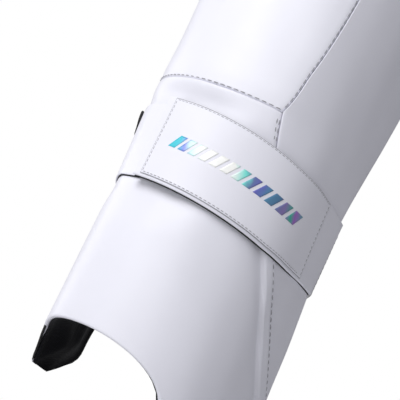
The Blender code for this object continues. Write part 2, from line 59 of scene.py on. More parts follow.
# ---- the form, as in the model
MM = 0.001
TOTAL_HEIGHT = 0.690
KNEE_HINGE_HEIGHT = 0.394
TOP_HINGE_HEIGHT = 0.548
LEG_AXIS_X = -0.0014
LEG_AXIS_Y = -0.0068
HALF_WIDTH = [
    (0.00, 0.074), (0.15, 0.074), (0.23, 0.077), (0.32, 0.083), (0.39, 0.088), (0.475, 0.095),
    (0.58, 0.099), (0.69, 0.097),
]
FRONT_DEPTH = [
    (0.00, 0.076), (0.15, 0.077), (0.25, 0.081), (0.32, 0.086), (0.39, 0.090), (0.475, 0.096),
    (0.69, 0.090),
]
CENTRE_SHIFT = [(0.00, 0.002), (0.10, 0.000), (0.38, 0.000), (0.475, 0.010), (0.58, 0.031), (0.69, 0.058)]
RUN_PER_DEGREE = 0.0013
WING_PINCH = 24.0
ARCH_HEIGHT = 0.0295
ARCH_HALF_ANGLE = 57.0
ARCH_POWER = 2.1
OUTER_CORNER = 0.012
INNER_CORNER = 0.026
BAND_HEIGHT = 0.061
BAND_FRONT_MIDDLE = 0.1648
BAND_SLOPE = 0.00013
BAND_SLOPE_END = 78.0
BAND_END = -9.0
BAND_THICKNESS = 0.0032
BAND_LIFT = 0.0020
CHANNEL_DEPTH = 0.0040
SEAM_HEIGHT = 0.2133
JUNCTION_HEIGHT = 0.2120
SEAM_GIRTH = 48.5
INNER_SEAM_GIRTH = -66.0
KNEE_STRAP_MIDDLE = 0.446
KNEE_REAR = 104.0
TOP_REAR = 100.0
ROLL_REACH = 62.0
WEDGE = 0.40
TOP_WEDGE = 0.18
WEDGE_REACH = 0.116
FLEX_GAP = 0.0030
ROLL_CROWN = 0.0060
CREST_FALL = 0.045

# ---- sizes of the fine work
# (height, how far the inner side is drawn in) and (height, degrees that the outer wing reaches back)
INNER_TUCK = [
    (0.0, 6.2 * MM), (0.03, 5.7 * MM), (0.08, 4.1 * MM), (0.13, 2.6 * MM), (0.165, 0.4 * MM),
    (0.205, -1.2 * MM), (0.235, 0.4 * MM), (0.26, 1.4 * MM), (0.33, 2.3 * MM), (0.385, 0.0), (0.69, 0.0),
]
OUTER_FLARE = [
    (0.0, 13.5), (0.055, 9.6), (0.085, 8.4), (0.11, 5.2), (0.13, 2.2), (0.15, 0.2), (0.17, 0.1),
    (0.20, 2.0), (0.22, 4.2), (0.26, 8.6), (0.31, 11.0), (0.36, 10.0), (0.39, 9.0), (0.69, 9.0),
]
# Half the gap at a seam (degrees across, millimetres up) and the sweep of the outer seam
SEAM_GAP = 0.03
SWEEP_SLOPE = 212.0
SWEEP_CURVE = 1910.0
# Straps: ends in degrees of girth, sizes in metres
PATCH_START = -3.0
PATCH_END = 103.0
PATCH_MARGIN = 0.0022
BADGE_START = 7.5
BADGE_END = 84.0
LOOP_HEIGHT = 0.057
LOOP_LIFT = 0.0027
# The viewpoint, then each light: azimuth, elevation, distance, size and power
CAMERA_AZIMUTH = 39.0
CAMERA_DISTANCE = 0.70
CAMERA_HEIGHT = -0.0554
CAMERA_ASIDE = -0.01305
TARGET_HEIGHT = 0.1553
CAMERA_ROLL = 26.925
CAMERA_LENS = 90.86
AMBIENT = 0.26
KEY_LIGHT = (1.0, 24.0, 1.6, 1.2, 19.2)
RIM_LIGHT = (-84.0, 8.0, 1.6, 0.9, 4.2)
BACK_LIGHT = (216.0, 45.0, 2.4, 1.6, 13.0)
LIGHT_TARGET = 0.22
# Shells, lining and thread
SKIN = 2.2 * MM
HEM = 3.0 * MM
THIN_HEM = 1.1 * MM
LINING = 2.0 * MM
PINCH_REACH = 24.0 * MM
STITCH_PITCH = 5.2 * MM
CORNER_RISE = 4.5 * MM
FACE_REACH = 46.0 * MM
WING_REACH = 42.0 * MM
THREAD = 0.36 * MM
PIPING = 2.1 * MM
PIPING_INSET = 2.2 * MM
LOOP_WEBBING = 1.3 * MM
BACKING = 0.9 * MM
PATCH_DEPTH = 1.0 * MM
PATCH_PITCH = 3.2 * MM
EDGE_SHARE = 0.46
STITCH_FILL = 0.74
STITCH_SIDES = 6
STITCH_PROBE = 0.2 * MM
STITCH_RINGS = (
    (0.0, 0.35, -1.0), (0.12, 0.85, -0.25), (0.35, 1.0, 0.35),
    (0.65, 1.0, 0.35), (0.88, 0.85, -0.25), (1.0, 0.35, -1.0),
)
CORD_SIDES = 10
WAVE_DEPTH = 0.25 * MM
HEM_THINS = (-38.0, -51.0)
LINING_DEPTH = 10.3 * MM
FOAM_CLEARANCE = 0.4 * MM
STRAP_LEVEL = 0.16


def mix(low, high, share):
    return low + (high - low) * share


def ease(value, start, end):
    """0 before start, 1 after end and a smooth S between."""
    share = np.clip((value - start) / (end - start), 0.0, 1.0)
    return share * share * (3.0 - 2.0 * share)


def along(table, height):
    """A smooth curve through the table's points."""
    knots = np.array(table)
    places, values = knots[:, 0], knots[:, 1]
    height = np.clip(height, places[0], places[-1])
    start = np.clip(np.searchsorted(places, height, side="left") - 1, 0, len(places) - 2)
    before = np.maximum(start - 1, 0)
    after = np.minimum(start + 2, len(places) - 1)
    end = start + 1
    span = places[end] - places[start]
    share = (height - places[start]) / span
    slope_in = (values[end] - values[before]) / (places[end] - places[before]) * span
    slope_out = (values[after] - values[start]) / (places[after] - places[start]) * span
    square = share * share
    cube = square * share
    return (
        (2 * cube - 3 * square + 1) * values[start]
        + (cube - 2 * square + share) * slope_in
        + (3 * square - 2 * cube) * values[end]
        + (cube - square) * slope_out
    )


def on_pad(girth, height, inset):
    """Points at these girths and heights, this far inside the pad's outer form."""
    girth, height, inset = np.broadcast_arrays(
        np.asarray(girth, float), np.asarray(height, float), np.asarray(inset, float)
    )
    inset = inset + along(INNER_TUCK, height) * ease(girth, -15.0, -52.0)
    width = along(HALF_WIDTH, height)
    depth = along(FRONT_DEPTH, height)
    shift = along(CENTRE_SHIFT, height)
    side = np.where(girth < 0.0, -1.0, 1.0)
    angle = np.radians(np.minimum(np.abs(girth), 90.0))
    run = np.maximum(np.abs(girth) - 90.0, 0.0) * RUN_PER_DEGREE
    x = width * np.sin(angle) * (1.0 - WING_PINCH * run * run)
    y = shift - depth * np.cos(angle) + run
    front = np.abs(girth) <= 90.0
    out_x = np.where(front, np.sin(angle) / width, 1.0)
    out_y = np.where(front, -np.cos(angle) / depth, 2.0 * width * WING_PINCH * run)
    size = np.hypot(out_x, out_y)
    x = x - out_x / size * inset
    y = y - out_y / size * inset
    return np.stack([LEG_AXIS_X + side * x, LEG_AXIS_Y + y, height], axis=-1)


def per_degree(height):
    """Metres along the surface for one degree of girth."""
    return along(HALF_WIDTH, height) * math.pi / 180.0


def band_middle(girth):
    inner_rise = 2.6 * MM * ease(girth, BAND_END, -45.0) * ease(girth, -110.0, -70.0)
    return BAND_FRONT_MIDDLE + inner_rise - BAND_SLOPE * np.clip(girth - BAND_END, 0.0, BAND_SLOPE_END)


def arch(girth):
    share = np.minimum(np.abs(girth) / ARCH_HALF_ANGLE, 1.0)
    return ARCH_HEIGHT * (1.0 - share**ARCH_POWER) ** (1.0 / ARCH_POWER)


def rounded_corner(height, radius):
    share = np.clip(1.0 - height / radius, 0.0, 1.0)
    return share * share * radius / RUN_PER_DEGREE


def outer_rear(height):
    return 126.5 + along(OUTER_FLARE, height) - rounded_corner(height, OUTER_CORNER)


def inner_rear(height):
    return -112.0 + 11.5 * ease(height, 0.115, 0.030) + rounded_corner(height, INNER_CORNER)


def cross_seam(girth):
    return SEAM_HEIGHT - 0.00010 * girth + 0.0000012 * girth * girth


def side_seam(height):
    rise = 1.0 - np.exp(-np.maximum(height - JUNCTION_HEIGHT, 0.0) / 0.042)
    return SEAM_GIRTH + 11.5 * rise - 2.3 * ease(height, JUNCTION_HEIGHT, JUNCTION_HEIGHT + 0.036)


def sweep_seam(height):
    drop = np.maximum(JUNCTION_HEIGHT - height, 0.0)
    return SEAM_GIRTH + SWEEP_SLOPE * drop + SWEEP_CURVE * drop * drop


def welt_width(height):
    """Degrees between the welt's front line and the sweeping seam behind it."""
    drop = np.maximum(JUNCTION_HEIGHT - height, 0.0)
    return np.where(drop < 0.091, 9.1 * (drop / 0.091) ** 0.6, 9.1 + 75.0 * (drop - 0.091))


def face_channel(girth, height):
    seam = cross_seam(girth)
    rise = ease(height, 0.100, 0.138) * ease(height, seam - 0.001, seam - 0.013)
    return CHANNEL_DEPTH * rise * ease(np.abs(girth), 40.0, 12.0)


def wedge_edge(hinge, side, slope):
    """Edge of a section at a hinge: side -1 below it, +1 above. It falls away towards the rear."""

    def edge(girth):
        front = on_pad(0.0, hinge, 0.0)[1]
        back = np.clip(on_pad(girth, hinge + side * 0.02, 0.0)[..., 1] - front - 0.010, 0.0, WEDGE_REACH)
        return hinge + side * (FLEX_GAP + slope * back)

    return edge


shin_top = wedge_edge(KNEE_HINGE_HEIGHT, -1.0, WEDGE)
knee_bottom = wedge_edge(KNEE_HINGE_HEIGHT, 1.0, 0.0)
knee_top = wedge_edge(TOP_HINGE_HEIGHT, -1.0, TOP_WEDGE)
top_bottom = wedge_edge(TOP_HINGE_HEIGHT, 1.0, TOP_WEDGE)


def crest(girth):
    return TOTAL_HEIGHT - CREST_FALL * (np.abs(girth) / TOP_REAR) ** 3


def level(value):
    """An edge at one girth or height."""
    return lambda place: value + 0.0 * np.asarray(place, float)


def moved(edge, by):
    """The edge shifted by this much."""
    return lambda place: edge(place) + by


# ---- grids and meshes
FINE = np.array([0.0, 0.12, 0.35, 0.7, 1.2, 1.9, 2.8, 4.0, 5.6, 7.6]) * MM


def steps_between(length, step):
    """Shares of the stretch between the two fine borders of a grid."""
    count = max(int(round((length - 2.0 * FINE[-1]) / step)), 1)
    return np.arange(1, count) / count


class Layout:
    """Girths and heights of a grid between four edges, with fine rows and columns along its border.

    An edge is a function of the height or girth, or a number where it is straight.
    """

    def __init__(self, left, right, bottom, top, step=3.5 * MM):
        edges = (left, right, bottom, top)
        left, right, bottom, top = (edge if callable(edge) else level(edge) for edge in edges)
        self.left, self.right = left, right
        heights = np.linspace(0.0, TOTAL_HEIGHT, 70)
        centre = 0.5 * (left(0.2) + right(0.2))
        low, high = float(bottom(centre)), float(top(centre))
        inside = heights[(heights > low) & (heights < high)]
        if len(inside) == 0:
            inside = np.array([0.5 * (low + high)])
        width = np.max((right(inside) - left(inside)) * per_degree(inside))
        self.shares = steps_between(width, step)
        columns = 2 * len(FINE) + len(self.shares)
        lows = self._crossings(bottom, columns)
        highs = self._crossings(top, columns)
        self.rises = steps_between(float(np.max(highs - lows)), step)
        self.height = self._spread(lows[None, :], highs[None, :], FINE, self.rises).reshape(-1, columns)
        self.girth = self._columns(self.height)
        scale = per_degree(self.height)
        self.from_left = (self.girth - left(self.height)) * scale
        self.from_right = (right(self.height) - self.girth) * scale
        self.from_bottom = self.height - bottom(self.girth)
        self.from_top = top(self.girth) - self.height

    @staticmethod
    def _spread(start, end, fine, shares):
        """Stacks fine steps from start, even steps, and fine steps to end, along a new first axis."""
        room = np.minimum(1.0, 0.42 * (end - start) / fine[-1])
        border = fine[:, None] * room
        first = start + border
        last = end - border[::-1]
        middle = mix(first[-1], last[0], shares[:, None])
        return np.concatenate([first, middle, last], axis=0)

    def _columns(self, height):
        """Girth of every column at these heights, one row of heights for each row of the grid."""
        left, right = self.left(height), self.right(height)
        scale = FINE[-1] / per_degree(height)
        room = np.minimum(1.0, 0.42 * (right - left) / scale)
        first = left + room * scale
        last = right - room * scale
        border = FINE / FINE[-1]
        count = len(FINE)
        start, middle, end = np.s_[:, :count], np.s_[:, count:-count], np.s_[:, -count:]
        result = np.empty_like(height)
        result[start] = left[start] + border * room[start] * scale[start]
        result[end] = right[end] - border[::-1] * room[end] * scale[end]
        result[middle] = mix(first[middle], last[middle], self.shares)
        return result

    def _crossings(self, edge, columns):
        low = np.full((1, columns), -0.02)
        high = np.full((1, columns), TOTAL_HEIGHT + 0.05)
        for _ in range(40):
            middle = 0.5 * (low + high)
            below = middle < edge(self._columns(middle))
            low = np.where(below, middle, low)
            high = np.where(below, high, middle)
        return (0.5 * (low + high))[0]


def round_off(distance, radius):
    """Depth of a rounded edge at this distance from it."""
    inside = np.clip(radius - distance, 0.0, radius)
    return radius - np.sqrt(np.maximum(radius * radius - inside * inside, 0.0))


def piece_from(name, points, faces, material):
    mesh = bpy.data.meshes.new(name)
    mesh.from_pydata(points.tolist(), [], faces)
    mesh.update()
    mesh.shade_smooth()
    mesh.materials.append(MATERIALS[material])
    obj = bpy.data.objects.new(name, mesh)
    bpy.context.scene.collection.objects.link(obj)
    return obj


def closed_sheet(name, outer, inner, material):
    """A closed piece from two grids of points, outer and inner, joined round the rim."""
    rows, columns = outer.shape[:2]
    count = rows * columns
    index = np.arange(count).reshape(rows, columns)
    corners = [index[:-1, :-1], index[:-1, 1:], index[1:, 1:], index[1:, :-1]]
    quads = np.stack(corners, axis=-1).reshape(-1, 4)
    rim = np.concatenate([index[0, :-1], index[:-1, -1], index[-1, :0:-1], index[:0:-1, 0]])
    after = np.roll(rim, -1)
    sides = np.stack([after, rim, rim + count, after + count], axis=-1)
    faces = np.concatenate([quads, quads[:, ::-1] + count, sides])
    points = np.concatenate([outer.reshape(-1, 3), inner.reshape(-1, 3)])
    return piece_from(name, points, faces.tolist(), material)


def border_distance(layout, sides="lrbt", asked=None):
    """Distance in the unrolled surface to the chosen sides of the layout.

    It is measured from every grid point of the layout itself, or of the asked one.
    """
    asked = asked or layout
    across = layout.girth * per_degree(layout.height)
    runs = {"l": np.s_[:, 0], "r": np.s_[:, -1], "b": np.s_[0, :], "t": np.s_[-1, :]}
    places = [(asked.girth * per_degree(asked.height)).ravel(), asked.height.ravel()]
    here = np.stack(places, axis=-1)[:, None, :]
    nearest = np.full(len(here), 1.0)
    for side in sides:
        line = np.stack([across[runs[side]], layout.height[runs[side]]], axis=-1)
        start, way = line[:-1][None], (line[1:] - line[:-1])[None]
        share = ((here - start) * way).sum(axis=-1) / np.maximum((way * way).sum(axis=-1), 1e-16)
        gap = here - start - way * np.clip(share, 0.0, 1.0)[..., None]
        nearest = np.minimum(nearest, np.sqrt((gap * gap).sum(axis=-1)).min(axis=1))
    return nearest.reshape(asked.girth.shape)


def slab(name, layout, material, outer, thickness, radius=None):
    """A slab on the pad: outer is its outer inset and thickness its depth, both arrays on the layout.

    Every edge is rounded to nearly half the thickness, or to radius where that is given.
    """
    thickness = np.broadcast_to(thickness, layout.girth.shape)
    radius = EDGE_SHARE * thickness if radius is None else np.minimum(radius, EDGE_SHARE * thickness)
    turn = round_off(border_distance(layout), radius)
    outside = on_pad(layout.girth, layout.height, outer + turn)
    inside = on_pad(layout.girth, layout.height, outer + thickness - turn)
    return closed_sheet(name, outside, inside, material)


def ring(centre, radius, across, up, sides):
    turns = [2.0 * math.pi * corner / sides for corner in range(sides)]
    return [centre + radius * (across * math.cos(turn) + up * math.sin(turn)) for turn in turns]


def tube_faces(base, rings, sides):
    """Faces of a closed tube through this many rings, its points numbered from base."""
    faces = []
    for low in range(base, base + (rings - 1) * sides, sides):
        for corner in range(sides):
            other = (corner + 1) % sides
            faces.append((low + corner, low + other, low + sides + other, low + sides + corner))
    last = base + (rings - 1) * sides
    return faces + [tuple(range(base, base + sides))[::-1], tuple(range(last, last + sides))]


def sweep(name, centres, radius, material):
    """A round cord along these points, with closed ends that taper to a dome."""
    tangent = np.gradient(centres, axis=0)
    tangent /= np.linalg.norm(tangent, axis=1)[:, None]
    upright = abs(tangent[0][2]) >= 0.9
    normal = np.cross(tangent[0], np.array([1.0, 0.0, 0.0] if upright else [0.0, 0.0, 1.0]))
    points = []
    for step, (centre, way) in enumerate(zip(centres, tangent)):
        normal = normal - way * normal.dot(way)
        normal /= np.linalg.norm(normal)
        end = min(step, len(centres) - 1 - step)
        size = radius * (0.35, 0.8)[end] if end < 2 else radius
        points += ring(centre, size, normal, np.cross(way, normal), CORD_SIDES)
    return piece_from(name, np.array(points), tube_faces(0, len(centres), CORD_SIDES), material)


def stitches(name, body, girths, heights, insets, finish="white_face", pitch=STITCH_PITCH, radius=THREAD):
    """Sews one thread length after another along a line on the pad, each dipping in at both ends."""
    line = on_pad(girths, heights, insets)
    outward = on_pad(girths, heights, np.asarray(insets) - MM) - line
    outward /= np.linalg.norm(outward, axis=1)[:, None]
    lengths = np.concatenate([[0.0], np.cumsum(np.linalg.norm(np.diff(line, axis=0), axis=1))])
    count = max(int(lengths[-1] / pitch), 1)
    pitch = lengths[-1] / count

    def between(values, place):
        return np.array([np.interp(place, lengths, values[:, axis]) for axis in range(3)])

    points, faces = [], []
    for number in range(count):
        start = (number + 0.5 * (1.0 - STITCH_FILL)) * pitch
        faces += tube_faces(len(points), len(STITCH_RINGS), STITCH_SIDES)
        for share, size, lift in STITCH_RINGS:
            place = start + share * STITCH_FILL * pitch
            out = between(outward, place)
            way = between(line, place + STITCH_PROBE) - between(line, place - STITCH_PROBE)
            side = np.cross(way, out)
            side /= max(np.linalg.norm(side), 1e-9)
            centre = between(line, place) + out * lift * radius
            points += ring(centre, radius * size, side, out, STITCH_SIDES)
    place_piece(piece_from(name, np.array(points), faces, "thread"), body, finish=finish)


FINISH = {
    "white_skin": "white_face", "white_piping": "white_face", "white_strap": "white_strap",
    "black_mesh": "black_lining", "black_knit": "black_lining", "black_backing": "hook_tape",
    "hook_tape": "hook_tape", "foam": "foam", "elastic": "elastic", "foil": "badge",
}


def place_piece(obj, body, *nodes, finish):
    """Hangs a finished piece on its body and hides the CAD nodes it stands for. The finish is not used.
    """
    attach(obj, body)
    if nodes:
        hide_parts(*nodes)
    return obj


def lay(name, layout, material, inset, thickness, body, *nodes, radius=None, finish=None):
    """Makes a slab on the pad and hangs it on its body."""
    piece = slab(name, layout, material, inset, thickness, radius)
    return place_piece(piece, body, *nodes, finish=finish or FINISH[material])


# ---- materials
class Surface:
    """A Principled material with helpers for the procedural nodes that feed it."""

    def __init__(self, name, **constants):
        self.material = bpy.data.materials.new(name)
        self.material.use_nodes = True
        self.tree = self.material.node_tree
        self.shader = self.tree.nodes["Principled BSDF"]
        self.place = self.node("ShaderNodeTexCoord").outputs["Object"]
        for socket, value in constants.items():
            self.shader.inputs[socket.replace("_", " ")].default_value = value
        self.height = None
        MATERIALS[name] = self.material

    def node(self, kind, **settings):
        made = self.tree.nodes.new(kind)
        for key, value in settings.items():
            setattr(made, key, value)
        return made

    def link(self, source, target):
        self.tree.links.new(source, target)

    def texture(self, kind, scale, stretch=None, **inputs):
        """A procedural texture at this many repeats per metre, optionally stretched per axis."""
        made = self.node("ShaderNodeTex" + kind)
        place = self.place
        if stretch:
            mapping = self.node("ShaderNodeMapping")
            mapping.inputs["Scale"].default_value = stretch
            self.link(place, mapping.inputs["Vector"])
            place = mapping.outputs["Vector"]
        self.link(place, made.inputs["Vector"])
        made.inputs["Scale"].default_value = scale
        for socket, value in inputs.items():
            if socket in made.inputs:
                made.inputs[socket].default_value = value
            else:
                setattr(made, socket, value)
        return made.outputs["Distance" if kind == "Voronoi" else "Fac"]

    def color(self, value, *stops):
        """The base colour runs through these stops as the value rises."""
        made = self.node("ShaderNodeValToRGB")
        elements = made.color_ramp.elements
        while len(elements) < len(stops):
            elements.new(0.5)
        for element, (place, color) in zip(elements, stops):
            element.position = place
            element.color = (*color, 1.0)
        self.link(value, made.inputs["Fac"])
        self.link(made.outputs["Color"], self.shader.inputs["Base Color"])

    def roughness(self, value, low, high, start=0.3, end=0.7):
        spread = self.node("ShaderNodeMapRange")
        for socket, number in (("From Min", start), ("From Max", end), ("To Min", low), ("To Max", high)):
            spread.inputs[socket].default_value = number
        self.link(value, spread.inputs["Value"])
        self.link(spread.outputs["Result"], self.shader.inputs["Roughness"])

    def bump(self, value, depth, strength=1.0):
        """Adds a bump of this depth in metres on top of the ones before it."""
        made = self.node("ShaderNodeBump")
        made.inputs["Distance"].default_value = depth
        made.inputs["Strength"].default_value = strength
        self.link(value, made.inputs["Height"])
        if self.height is not None:
            self.link(self.height, made.inputs["Normal"])
        self.height = made.outputs["Normal"]
        self.link(self.height, self.shader.inputs["Normal"])


MATERIALS = {}


def grey(value, blue=1.0):
    return (value, value, value * blue)


def coated_leather(name, light, dark, rough, grain, coat):
    """Smooth polyurethane-coated leather: pore grain, faint mottling and soft scuffs."""
    surface = Surface(name, Coat_Weight=coat, Coat_Roughness=0.22, IOR=1.46)
    mottle = surface.texture("Noise", 16.0, Detail=4.0, Roughness=0.55)
    surface.color(mottle, (0.34, dark), (0.62, light))
    scuff = surface.texture("Noise", 55.0, stretch=(1.0, 1.0, 0.35), Detail=6.0, Roughness=0.6)
    surface.roughness(scuff, *rough)
    pores = surface.texture("Voronoi", grain, feature="SMOOTH_F1")
    surface.bump(pores, 0.00005, 0.35)
    surface.bump(surface.texture("Noise", 420.0, Detail=3.0), 0.00006, 0.30)


def woven(name, rough, kind, scale, dark, light, depth, strength, **weave_settings):
    """A cloth or thread whose weave sets both its shade and its relief."""
    surface = Surface(name, Roughness=rough)
    weave = surface.texture(kind, scale, **weave_settings)
    surface.color(weave, dark, light)
    surface.bump(weave, depth, strength)


def make_materials():
    coated_leather("white_skin", grey(0.835, 1.09), grey(0.810, 1.09), (0.42, 0.52), 1500.0, 0.05)
    coated_leather("white_strap", grey(0.845, 1.09), grey(0.820, 1.09), (0.46, 0.55), 1900.0, 0.03)
    coated_leather("white_piping", grey(0.810, 1.08), grey(0.770, 1.08), (0.36, 0.48), 1900.0, 0.10)

    mesh = Surface("black_mesh", Sheen_Weight=0.03, Sheen_Roughness=0.4, Specular_IOR_Level=0.2)
    holes = mesh.texture("Voronoi", 620.0, Randomness=0.18)
    mesh.color(holes, (0.10, (0.0015, 0.0016, 0.0025)), (0.45, (0.0045, 0.0048, 0.0075)))
    mesh.roughness(mesh.texture("Noise", 30.0, Detail=3.0), 0.62, 0.82)
    mesh.bump(holes, 0.00035, 0.8)

    knit = Surface("black_knit", Sheen_Weight=0.35, Sheen_Roughness=0.45, Specular_IOR_Level=0.25)
    ribs = knit.texture("Wave", 260.0, bands_direction="Z", Distortion=1.2, Detail=1.0)
    loops = knit.texture("Voronoi", 900.0, Randomness=0.5)
    knit.color(loops, (0.0, (0.022, 0.023, 0.028)), (0.7, (0.006, 0.006, 0.008)))
    knit.roughness(loops, 0.7, 0.9, 0.0, 0.8)
    knit.bump(ribs, 0.00025, 0.5)
    knit.bump(loops, 0.0003, 0.6)

    dark, light = (0.3, grey(0.006)), (0.7, grey(0.016, 1.1))
    woven("black_backing", 0.8, "Noise", 900.0, dark, light, 0.0002, 0.6, Detail=2.0)
    dark, light = (0.05, grey(0.045)), (0.5, grey(0.012))
    woven("hook_tape", 0.7, "Voronoi", 700.0, dark, light, 0.0008, 0.9, Randomness=0.3)

    foam = Surface("foam", Roughness=0.9)
    cells = foam.texture("Voronoi", 900.0)
    tone = foam.texture("Noise", 40.0, Detail=3.0)
    foam.color(tone, (0.35, grey(0.50, 1.04)), (0.65, grey(0.60, 1.04)))
    foam.bump(cells, 0.0004, 0.7)

    plate = Surface("plate", IOR=1.49)
    flow = plate.texture("Noise", 90.0, stretch=(1.0, 1.0, 0.15), Detail=5.0)
    plate.color(flow, (0.35, grey(0.30, 1.08)), (0.65, grey(0.36, 1.08)))
    plate.roughness(flow, 0.38, 0.52)
    plate.bump(flow, 0.0001, 0.4)

    elastic = Surface("elastic", Roughness=0.8, Sheen_Weight=0.2)
    ribs = elastic.texture("Wave", 150.0, bands_direction="Z")
    threads = elastic.texture("Noise", 700.0, stretch=(1.0, 1.0, 0.3), Detail=2.0)
    elastic.color(ribs, (0.05, grey(0.50, 1.03)), (0.40, grey(0.76, 1.03)))
    elastic.bump(ribs, 0.0005, 0.8)
    elastic.bump(threads, 0.0003, 0.5)

    dark, light = (0.2, grey(0.26, 1.08)), (0.7, grey(0.42, 1.08))
    twist = {"bands_direction": "DIAGONAL", "Distortion": 0.6}
    woven("thread", 0.6, "Wave", 1100.0, dark, light, 0.0001, 0.7, **twist)

    foil_material()
    floor_material()


FOIL_DRIFT = 0.16
# Colours of the foil, painted as fixed bands: the film's own iridescence, with its reflected colours and
# near-white painted in place.
FOIL_STOPS = (
    (0.00, (0.05, 0.60, 0.72)), (0.06, (0.20, 0.24, 0.80)), (0.11, (0.62, 0.95, 0.95)),
    (0.17, (0.98, 0.99, 0.97)), (0.35, (0.98, 0.99, 0.96)), (0.42, (0.20, 0.80, 0.72)),
    (0.47, (0.14, 0.20, 0.42)), (0.53, (0.14, 0.14, 0.52)), (0.60, (0.10, 0.28, 0.46)),
    (0.68, (0.08, 0.20, 0.36)), (0.75, (0.24, 0.18, 0.44)), (0.81, (0.03, 0.42, 0.30)),
    (0.86, (0.36, 0.12, 0.55)), (0.92, (0.06, 0.46, 0.46)), (1.00, (0.06, 0.18, 0.46)),
)


def foil_material():
    """Iridescent transfer film: its colour runs along the strap in soft, broken bands. The bands, the
    near-white ones too, are painted reflection: the film's angle-dependent colours fixed in place.
    """
    foil = Surface("foil", Roughness=0.35, Coat_Weight=0.3, Coat_Roughness=0.15)
    split = foil.node("ShaderNodeSeparateXYZ")
    foil.link(foil.place, split.inputs["Vector"])
    forward = foil.node("ShaderNodeMath", operation="MULTIPLY")
    forward.inputs[1].default_value = -1.0
    foil.link(split.outputs["Y"], forward.inputs[0])
    girth = foil.node("ShaderNodeMath", operation="ARCTAN2")
    foil.link(split.outputs["X"], girth.inputs[0])
    foil.link(forward.outputs["Value"], girth.inputs[1])
    drift = foil.texture("Noise", 70.0, Detail=2.0)
    shift = foil.node("ShaderNodeMath", operation="MULTIPLY_ADD")
    shift.inputs[1].default_value = FOIL_DRIFT
    foil.link(drift, shift.inputs[0])
    foil.link(girth.outputs["Value"], shift.inputs[2])
    share = foil.node("ShaderNodeMapRange")
    share.inputs["From Min"].default_value = math.radians(BADGE_START) + 0.5 * FOIL_DRIFT
    share.inputs["From Max"].default_value = math.radians(BADGE_END) + 0.5 * FOIL_DRIFT
    foil.link(shift.outputs["Value"], share.inputs["Value"])
    foil.color(share.outputs["Result"], *FOIL_STOPS)
    flake = foil.texture("Voronoi", 2200.0)
    foil.bump(flake, 0.00003, 0.4)


def floor_material():
    """A pale matt floor seen from above only, so that a low viewpoint isn't blocked by it."""
    floor = Surface("studio_floor", Roughness=0.85)
    tone = floor.texture("Noise", 3.0, Detail=5.0)
    floor.color(tone, (0.3, grey(0.83, 1.01)), (0.7, grey(0.87, 1.01)))
    clear = floor.node("ShaderNodeBsdfTransparent")
    side = floor.node("ShaderNodeNewGeometry")
    both = floor.node("ShaderNodeMixShader")
    output = floor.tree.nodes["Material Output"]
    floor.link(side.outputs["Backfacing"], both.inputs["Fac"])
    floor.link(floor.shader.outputs["BSDF"], both.inputs[1])
    floor.link(clear.outputs["BSDF"], both.inputs[2])
    floor.link(both.outputs["Shader"], output.inputs["Surface"])


# ---- shin section
def rolled(distance, radius, depth):
    """Extra inset of an edge that rolls over into a seam."""
    share = np.clip(1.0 - distance / radius, 0.0, 1.0)
    return depth * (1.0 - np.sqrt(1.0 - share * share))


def hem_at(girth):
    return mix(HEM, THIN_HEM, ease(girth, *HEM_THINS))


def skin_at(distance, girth=0.0):
    """Thickness of a shell: a rounded hem at its free edge and a thin skin behind it.

    The inner wing has no hem, because its lining comes right to the edge.
    """
    return mix(hem_at(girth), SKIN, ease(distance, 2.5 * MM, 9.0 * MM))


def visual_channel(girth, height):
    """The channel under the strap, carried on to the inner side so that the strap lies flush."""
    seam = cross_seam(girth)
    rise = ease(height, 0.112, 0.134) * ease(height, seam - 0.006, seam - 0.022)
    return np.maximum(face_channel(girth, height), 1.6 * MM * rise * ease(girth, -12.0, -30.0))


def junction_roll(distance):
    """The face rolls down into the seam between the strap and the junction."""
    return rolled(distance, 9.0 * MM, 1.7 * MM)


def wing_foot(girth):
    """Height of the sweeping seam at this girth."""
    over = np.maximum(girth - SEAM_GIRTH - SEAM_GAP, 0.0)
    root = np.sqrt(SWEEP_SLOPE**2 + 4.0 * SWEEP_CURVE * over)
    return JUNCTION_HEIGHT - (root - SWEEP_SLOPE) / (2.0 * SWEEP_CURVE)


def corner_rise(height, distance, reach):
    """The soft corner in which the face and the outer wing meet, highest at the side seam itself."""
    tall = ease(height, 0.186, 0.224) * ease(height, 0.388, 0.350)
    return CORNER_RISE * tall * np.square(np.clip(1.0 - distance / reach, 0.0, 1.0))


def soft_wave(girth, height):
    """A barely visible unevenness of skin pulled over foam."""
    angle = np.radians(girth)
    wave = np.sin(9.0 * angle + 55.0 * height) + np.sin(5.0 * angle - 38.0 * height + 1.3)
    return 0.5 * WAVE_DEPTH * (wave + np.sin(14.0 * angle + 21.0 * height + 0.4))


